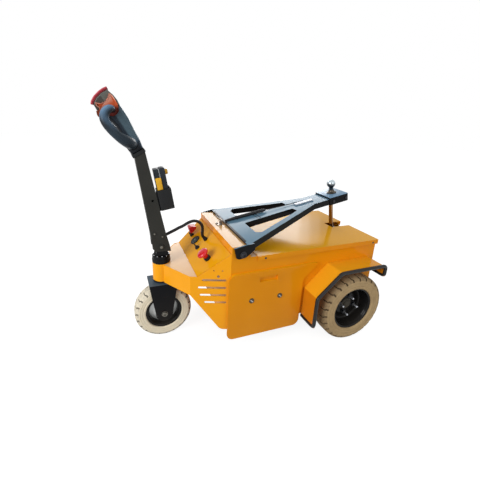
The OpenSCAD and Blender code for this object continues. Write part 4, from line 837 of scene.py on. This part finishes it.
def lofted(levels):
    shape = merged(*[crossSection(*level) for level in levels])
    faces = sorted(shape.faces, key=lambda f: f.calc_center_median().z)
    rings = [f.edges[:] for f in faces]
    bmesh.ops.delete(shape, geom=faces[1:-1], context="FACES_ONLY")
    for low, high in zip(rings, rings[1:]):
        bmesh.ops.bridge_loops(shape, edges=low + high)
    bmesh.ops.recalc_face_normals(shape, faces=shape.faces)
    return shape


# Core and both grips are one moulding: the shapes are joined by a voxel remesh and smoothed
def makeHead():
    radii = [r for place, r in headForm["grip"]]
    grips = [tube([flip @ Vector(place) for place, r in headForm["grip"]], 1.0, 24, radii, 4)
             for flip in bothSides.values()]
    rough = asObject("head_rough", moved(merged(lofted(headForm["coreLevels"]), *grips), metre))
    bpy.context.scene.collection.objects.link(rough)
    voxels = rough.modifiers.new("voxels", "REMESH")
    voxels.mode, voxels.voxel_size = "VOXEL", headForm["voxel"] / 1000
    calm = rough.modifiers.new("calm", "SMOOTH")
    calm.factor, calm.iterations = 0.5, headForm["smoothing"]
    solid = bpy.data.meshes.new_from_object(rough.evaluated_get(bpy.context.evaluated_depsgraph_get()))
    bpy.data.objects.remove(rough)
    return moved(asShape(solid), Matrix.Scale(1000, 4))


standIn("head_moulding", makeHead(), head, gripPlastic, "tiller_head hand_loops", 70)

# Nose: two facets a side meet in a ridge
ridge = headForm["ridge"]
nose = slab(headForm["nose"], headForm["noseHalf"], 3.5, 3, 40)
bmesh.ops.bisect_plane(nose, geom=nose.verts[:] + nose.edges[:] + nose.faces[:], dist=0.001,
                       plane_co=(ridge, 0, 250), plane_no=(1, 0, 0.02))
for vert in nose.verts:
    lean = max(0.0, (abs(vert.co.x - ridge) - 2) / 46)
    vert.co.y *= 1 - (0.13 if vert.co.x < ridge else 0.07) * lean
standIn("nose_skin", nose, head, nosePlastic, "head_nose", 6)

# Thumb rockers: butterfly plates with raised horns, round the grips' upper ends
rocker = {
    "outline": [(-39, 252), (-37.5, 262), (-34, 267), (-28, 261), (-18, 254), (-6, 252), (7, 252.5), (15, 256),
                (22, 264), (29, 271.5), (34.5, 268), (37.5, 258), (38, 244), (37, 228), (34, 210), (26, 196.5),
                (12, 189.5), (-4, 189.5), (-13, 195), (-20, 204), (-34, 208), (-48, 209), (-56, 213), (-56.5, 222),
                (-51, 236), (-46, 237), (-40, 232), (-35, 234), (-34.5, 243)],
    "inner": 45.9, "outer": 59, "rim": 5.5, "dish": 5, "hornRise": 6,
}


def makeRocker():
    outer = rocker["outer"]
    wing = plate(rocker["outline"], rocker["inner"], outer)
    sink(wing, [f for f in wing.faces if f.calc_center_median().y > outer - 0.1], rocker["rim"], rocker["dish"])
    soften(wing, 2.4, 3, 25, lambda e: min(v.co.y for v in e.verts) > outer - 6)
    for vert in wing.verts:
        horn = max(0.0, (vert.co.z - 252) / 20, (-vert.co.x - 40) / 16)
        if vert.co.y > 50:
            vert.co.y += rocker["hornRise"] * horn
    return wing


standIn("rocker_wings", merged(*mirrored(makeRocker)), head, rockerPlastic, "thumb_rockers", 40)


# Belly button: a red crown over a darker rim, both along the nose's curved top
def beside(line, offset):
    out = []
    for i, point in enumerate(line):
        back, on = Vector(line[max(i - 1, 0)]), Vector(line[min(i + 1, len(line) - 1)])
        along = (on - back).normalized()
        out.append((point[0] - along.y * offset, point[1] + along.x * offset))
    return out


def crownShape(low, high, half, radius):
    band = beside(headForm["crown"], low) + beside(headForm["crown"], high)[::-1]
    return slab(band, half, radius, 3, 25)


rim, crown = crownShape(0.2, 5.4, 40.5, 1.6), crownShape(4.6, 12.9, 39, 3.6)
detail("cap_rim", rim, head, capRim, "tiller", "red_plastic", 30)
standIn("cap_crown", crown, head, capPlastic, "safety_button", 30)

print("stage: handset")
handset = {
    "holster": (38, -36, 182, 106, 36, 284), "wall": 3.5, "well": 94,
    "back": [(30.5, 180), (39, 180), (39, 270), (28.6, 270)], "backHalf": 22,
    "halves": [(42.4, -25, 187, 66, 25, 384, 4), (68.5, -25.5, 187, 95.5, 25.5, 386, 5),
               (60, -21, 190, 74, 21, 372, 1)],
    "strip": (66.2, -24.4, 292, 68.3, 24.4, 383, 0.5), "ribs": 4, "ribStep": 11,
    "keys": [(43, -30.5, 284, 70, -24, 343, 2.4), (43, 24, 284, 70, 30.5, 343, 2.4)],
    "knob": [(0, 0), (12.4, 0), (13, 1.5), (13, 11), (12, 13.6), (8, 14.8), (0, 15)],
}
holster = soften(block(*handset["holster"]), 4, 3, 30, lambda e: upright(e) or max(v.co.z for v in e.verts) < 190)
tops = [f for f in holster.faces if f.calc_center_median().z > 283.9]
sink(holster, tops, handset["wall"])
well = bmesh.ops.extrude_face_region(holster, geom=tops)["geom"]
bmesh.ops.delete(holster, geom=tops, context="FACES")
bmesh.ops.translate(holster, vec=(0, 0, -handset["well"]),
                    verts=[v for v in well if isinstance(v, bmesh.types.BMVert)])
holster = merged(holster, slab(handset["back"], handset["backHalf"], 1.5, 2))
standIn("holster_shell", holster, tiller, blackPlastic, "holster", 35)
ribs = [moved(block(48, -27, 330, 60, -24, 337, 1.0), shift(0, 0, row * handset["ribStep"]))
        for row in range(handset["ribs"])]
halves = merged(*[block(*sizes) for sizes in handset["halves"]], *ribs)
standIn("handset_halves", halves, tiller, slatePlastic, "handset", 35)
detail("handset_strip", block(*handset["strip"]), tiller, paleStrip, "tiller", "black_plastic")
knob = moved(turned(handset["knob"], 40), shift(95, 0, 361) @ turnZ(-90))
keys = merged(*[block(*sizes) for sizes in handset["keys"]], knob)
detail("handset_keys", keys, tiller, yellowPlastic, "tiller", "black_plastic")

print("stage: console")
panel = {
    # up the slope, sideways
    "places": {"gauge": (105, 91), "key": (118, 4), "stop": (104, -153), "plug": (104, 166), "gland": (55, 11)},
    "bezel": [(0, -28), (24, -28), (24, 0.2), (29, 0.2), (29.2, 2.6), (28.2, 4.6), (26, 5.2), (24.2, 4.4), (23.4, 2.6),
              (0, 2.4)],
    "dial": [(0, 2.5), (23.2, 2.5), (23.2, 2.9), (0, 3.1)],
    "marks": 11, "markStep": 24, "needle": -48,
    "lock": [(0, -26), (9, -26), (9, 0.2), (13, 0.2), (13, 5), (12, 6.8), (9.4, 7.2), (8.6, 13.4), (7.6, 14.4),
             (0, 14.4)],
    "foot": [(0, -38), (10.5, -38), (10.5, 0.2), (17, 0.2), (17, 13), (16, 15.4), (0, 15.6)],
    "mushroom": [(0, 15.4), (12, 15.4), (13.5, 17), (15, 24), (18.5, 33.5), (24, 37.2), (29, 40), (30, 43.5),
                 (29.2, 47.6), (26, 51.4), (19, 54.2), (9, 55.7), (0, 56)],
    "socket": [(0, -13), (7.5, -13), (7.5, 0.2), (12, 0.2), (12, 8), (10.4, 10), (8.6, 10.4), (8.5, 24), (0, 24)],
    "handle": [(-8, 30), (12, 30), (27, 49), (31, 56), (29, 61), (23, 63), (-6, 63), (-12, 60), (-14, 54), (-12, 44)],
    "gland": [(0, 6), (11.4, 6), (11.4, 9), (10.8, 9.4), (10.8, 10), (11.2, 10.4), (10.6, 14), (9.4, 17.6), (8.2, 18),
              (0, 18)],
}
on = {name: console @ shift(-up, side, 0) for name, (up, side) in panel["places"].items()}
standIn("gauge_bezel", post(panel["bezel"], 64), on["gauge"], blackPlastic, "gauge", 40)
detail("gauge_dial", post(panel["dial"], 64), on["gauge"], dialFace, "chassis", "black_plastic")
marks = [moved(block(-0.5, 17, 3.0, 0.5, 21, 3.5), turnZ(-120 + panel["markStep"] * i))
         for i in range(panel["marks"])]
needle = moved(block(-0.7, -4, 3.2, 0.7, 16, 3.9), turnZ(panel["needle"]))
hubCap = moved(boss(3, 1.4, 20, 0.3), shift(0, 0, 2.9))
detail("gauge_marks", merged(*marks, needle, hubCap), on["gauge"], dialMark, "chassis", "black_plastic")
key = [block(-2.4, -9.5, 13, 2.4, 9.5, 26, 1.2), block(-2.2, -11, 24, 2.2, 11, 37, 2.0)]
standIn("key_lock", merged(post(panel["lock"], 40), *key), on["key"], blackPlastic, "key_switch", 40)
stopNut = moved(boss(15.5, 8, 6, 1.2), shift(0, 0, 0.3))
detail("stop_foot", merged(post(panel["foot"]), stopNut), on["stop"], blackPlastic, "chassis", "black_plastic")
standIn("stop_mushroom", post(panel["mushroom"], 64), on["stop"], stopPlastic, "stop_button", 40)
leads = [tube([(0, y * 0.35, 8), (2, y * 0.6, 17), (7, y * 0.85, 24), (12, y, 31)], 6.2) for y in (-13, 15)]
detail("plug_stub", merged(post(panel["socket"], 36), *leads), on["plug"], cableRubber, "chassis", "black_plastic")
sleeves = [moved(boss(7.6, 9, 24, 0.8), shift(2, y, 24)) for y in (-12, 14)]
plug = merged(soften(plate(panel["handle"], -22, 26), 3, 3), *sleeves)
on["handle"] = on["plug"] @ shift(0, 0, 16) @ turnY(consolePitch) @ shift(0, 0, -16)
standIn("plug_body", plug, on["handle"], plugPlastic, "charge_plug", 35)
gland = merged(moved(boss(7.5, 16, 24, 0), shift(0, 0, -15)), moved(boss(13, 6, 6, 1.0), shift(0, 0, 0.2)),
               post(panel["gland"], 40))
standIn("gland_body", gland, on["gland"], blackPlastic, "cable_gland", 40)

print("stage: fender edging")
edging = {
    "radius": 9.6,
    "route": [(-252, 278, 136), (-252, 330, 135), (-252, 370, 135), (-252, 385, 137), (-252, 390, 148),
              (-252, 390, 172), (-252, 390, 288), (-252, 390, 300), (-248, 390, 310), (-240, 390, 318),
              (-134, 390, 416), (-125, 390, 424), (-114, 390, 428), (-100, 390, 429), (146, 390, 429), (162, 390, 428),
              (171, 390, 420), (172, 390, 407), (172, 390, 388), (172, 390, 377), (171, 383, 370), (170, 370, 369),
              (170, 330, 369), (170, 278, 369)],
}
for letter, flip in bothSides.items():
    route = [flip @ Vector(point) for point in edging["route"]]
    trim = tube(route, edging["radius"], resolution=3)
    standIn("fender_edging_" + letter, trim, base, edgeRubber, "fender_trim_" + letter, 50)

print("stage: hitch")
plateForm = {"front": 652, "rear": 783, "half": 72, "low": 4, "top": 49, "corner": 10, "frontCorner": 3, "edge": 3.5,
             "wall": 5, "boltsAt": (676, 764), "bolt": ((71.5, 24, 8.6, 5, 32, 1.4), (76, 24, 4, 1.2, 6, 0.2))}
ball = {
    "at": 716, "radius": 25, "height": 58,
    "collar": [(0, -6), (11, -6), (11, 0.3), (26.5, 0.3), (28, 1.6), (28, 4.4), (26, 6), (20.5, 8), (16.5, 11.5),
               (15, 16), (14.6, 22), (12.8, 23), (0, 23)],
}
ballPlate = block(plateForm["front"], -plateForm["half"], plateForm["low"], plateForm["rear"], plateForm["half"],
                  plateForm["top"])
under = [f for f in ballPlate.faces if f.calc_center_median().z < plateForm["low"] + 1]
bmesh.ops.delete(ballPlate, geom=under, context="FACES")
for radius, atRear in ((plateForm["corner"], True), (plateForm["frontCorner"], False)):
    soften(ballPlate, radius, 5, 30, lambda e: upright(e, 10) and (e.verts[0].co.x > 700) == atRear)
soften(ballPlate, plateForm["edge"], 4, 30, lambda e: min(v.co.z for v in e.verts) > plateForm["top"] - 0.1)
bmesh.ops.recalc_face_normals(ballPlate, faces=ballPlate.faces)
bmesh.ops.solidify(ballPlate, geom=ballPlate.faces[:], thickness=plateForm["wall"])
standIn("ball_plate_skin", ballPlate, arm, plateEnamel, "ball_plate", 35)
bolts = sideBosses(*[(x, *rest) for x in plateForm["boltsAt"] for rest in plateForm["bolt"]])
detail("plate_bolts", bolts, arm, darkSteel, "hitch", "black_paint")
ballBase = arm @ shift(ball["at"], 0, plateForm["top"])
detail("ball_collar", post(ball["collar"], 64), ballBase, collarSteel, "hitch", "chrome", 45)
arc = [math.radians(a) for a in range(-56, 64, 5)]
ballSection = [(0, 20), (12.6, 20), (12.6, 35), (13.5, 37),
               *[(ball["radius"] * math.cos(a), ball["height"] + ball["radius"] * math.sin(a))
                 for a in arc], (10, 80.8), (8, 81.6), (0, 81.6)]
standIn("tow_ball_skin", post(ballSection, 72), ballBase, ballChrome, "tow_ball", 45)

# Release cable on the arm's spine: sheath, adjuster, bare wire and latch bar
release = {
    "sheath": [(34, 40, 46.6), (60, 39.5, 49.2), (130, 35.5, 50.3), (190, 32, 50.3), (226, 30, 50.3)],
    "sheathRadii": [6.2, 8.8, 10, 10, 9.4],
    "clamps": (104, 201, 217), "straps": (201, 217), "slope": 0.0525,
    "adjuster": [(0, 0), (8.2, 0), (9, 1), (9, 12), (10.8, 12.6), (10.8, 19), (9, 19.6), (9, 30), (10.8, 30.6),
                 (10.8, 36), (9, 37), (7, 48), (4.4, 57), (2.4, 60), (0, 60)],
    "wire": [(278, 27.2, 51), (330, 24, 47.5), (420, 18.5, 46), (500, 13, 46), (522, 11, 46)], "wireRadius": 2.4,
    "nosing": (28.4, -243, 34, 39, 243, 42, 0.6), "latch": (456, -19, 40.3, 574, 5, 48, 1.6),
}
run = [tube(release["sheath"], 1.0, 20, release["sheathRadii"])]
for x in release["clamps"]:
    y = 40 - (x - 34) * release["slope"]
    run += [moved(turned([(9, -2.2), (11.4, -2.2), (11.4, 2.2), (9, 2.2)], 24), shift(x, y, 50.3) @ turnZ(90)),
            block(x - 2.2, y - 9, 40.2, x + 2.2, y + 9, 42.2, 0.4)]
run += [block(x - 1.7, -39, 39.6, x + 1.7, 39, 41.4, 0.4) for x in release["straps"]]
run.append(moved(turned(release["adjuster"], 24), shift(224, 30, 51.2) @ turnZ(-93)))
standIn("release_sheath", merged(*run), arm, cableRubber, "release_cable", 40)
wire = tube(release["wire"], release["wireRadius"], 12)
detail("release_wire", wire, arm, cableRubber, "hitch", "edge_rubber", 40)
detail("arm_nosing", block(*release["nosing"]), arm, edgeRubber, "hitch", "edge_rubber")
detail("latch_bar", block(*release["latch"]), arm, latchSteel, "hitch", "zinc_steel")

# Pivot bolts: round head and washer outside each ear
pivotSection = [(0, 232), (12, 232), (12, 270.3), (20, 270.3), (20, 276.6), (12, 276.6), (12, 285.4), (16, 285.4),
                (17, 286), (17, 288), (15.6, 289), (13.6, 289.4), (13.2, 293.6), (11.8, 295.4), (7.4, 296), (6.8, 295),
                (6.8, 291), (0, 290.4)]
pivots = merged(*mirrored(lambda: turned(pivotSection, 48)))
standIn("pivot_bolts", pivots, armPivot, darkSteel, "hitch_pivots", 40)

print("stage: fasteners")
fastener = {
    "lock": [(0, 275), (7.5, 275), (7.5, 283.2), (13.2, 283.2), (13.5, 284), (13.5, 285.4), (12.6, 287), (10, 287.4),
             (9.4, 286.6), (0, 286.4)],
    "slot": (-9, 286.0, -1.9, 9, 288.4, 1.9, 0.7), "slotTurn": 38, "locksAt": (-567, -408), "lockHeight": 294.5,
    "screwsAt": (-502, 172), "screw": ((274.6, 517, 5.6, 4.6, 24, 1.4), (274.6, 517, 2.6, 5.0, 6, 0.1)),
}
lockPlaces = [shift(x, 0, fastener["lockHeight"]) @ flip @ turnY(fastener["slotTurn"])
              for flip in bothSides.values() for x in fastener["locksAt"]]
locks = [moved(turned(fastener["lock"], 48), place) for place in lockPlaces]
standIn("lock_faces", merged(*locks), base, lockSteel, "cover_locks", 35)
slots = [moved(block(*fastener["slot"]), place) for place in lockPlaces]
detail("lock_slots", merged(*slots), base, brightSteel, "chassis", "zinc_steel")
screws = sideBosses(*[(x, *rest) for x in fastener["screwsAt"] for rest in fastener["screw"]])
detail("lid_screws", screws, base, darkSteel, "chassis", "zinc_steel")

print("stage: studio")
studio = {
    "ambient": 0.48, "floorGlow": 0.86, "key": 84, "fill": 19,
    "back": 36, "backSpot": (1.05, 2.76, 1.8), "backSize": (2.2, 0.8),
    "fade": ((1.18, 0.16, 0.55), (1.34, 0.16, 0.22)),    # distance beside the back softbox, width, share of its power
}


def makeWorld():
    world = bpy.data.worlds.new("studio")
    bpy.context.scene.world = world
    world.use_nodes = True
    nodes, sky = Nodes(world.node_tree), world.node_tree.nodes["Background"]
    sky.inputs["Color"].default_value = (1, 1, 1, 1)
    nodes.feed(sky.inputs["Strength"], nodes.seenLevel(studio["ambient"], 1.0))


def makeFloor():
    shape = bmesh.new()
    bmesh.ops.create_grid(shape, x_segments=1, y_segments=1, size=14)
    floor = asObject("floor", shape)
    bpy.context.scene.collection.objects.link(floor)
    material = bpy.data.materials.new("floor")
    material.use_nodes = True
    tree = material.node_tree
    tree.nodes.remove(tree.nodes["Principled BSDF"])
    nodes = Nodes(tree)
    matt = nodes.node("ShaderNodeBsdfDiffuse", None, {"Color": (0.3, 0.3, 0.3, 1)})
    glow = nodes.node("ShaderNodeEmission", None, {"Strength": nodes.seenLevel(0.0, studio["floorGlow"])})
    both = nodes.node("ShaderNodeAddShader", None, {0: matt, 1: glow})
    nodes.feed(tree.nodes["Material Output"].inputs["Surface"], both)
    floor.data.materials.append(material)


def softbox(name, place, target, size, power):
    data = bpy.data.lights.new(name, "AREA")
    data.shape, data.size, data.size_y, data.energy = "RECTANGLE", size[0], size[1], power
    lamp = bpy.data.objects.new(name, data)
    aim = (Vector(target) - Vector(place)).to_track_quat("-Z", "Y")
    lamp.matrix_world = Matrix.Translation(place) @ aim.to_matrix().to_4x4()
    bpy.context.scene.collection.objects.link(lamp)


makeWorld()
makeFloor()
softbox("key", (-3.2, -1.5, 1.7), (-0.1, 0, 0.45), (1.8, 1.8), studio["key"])
softbox("fill", (1.2, -3.2, 1.9), (0, 0, 0.4), (2.0, 2.0), studio["fill"])
backSpot, backAim, (backWidth, backHeight) = Vector(studio["backSpot"]), Vector((0, 0, 0.5)), studio["backSize"]
softbox("back", backSpot, backAim, studio["backSize"], studio["back"])
for offset, width, share in studio["fade"]:
    aside = Vector((0.935, -0.355, 0)) * offset
    softbox("back_fade", backSpot + aside, backAim + aside, (width, backHeight),
            studio["back"] * share * width / backWidth)
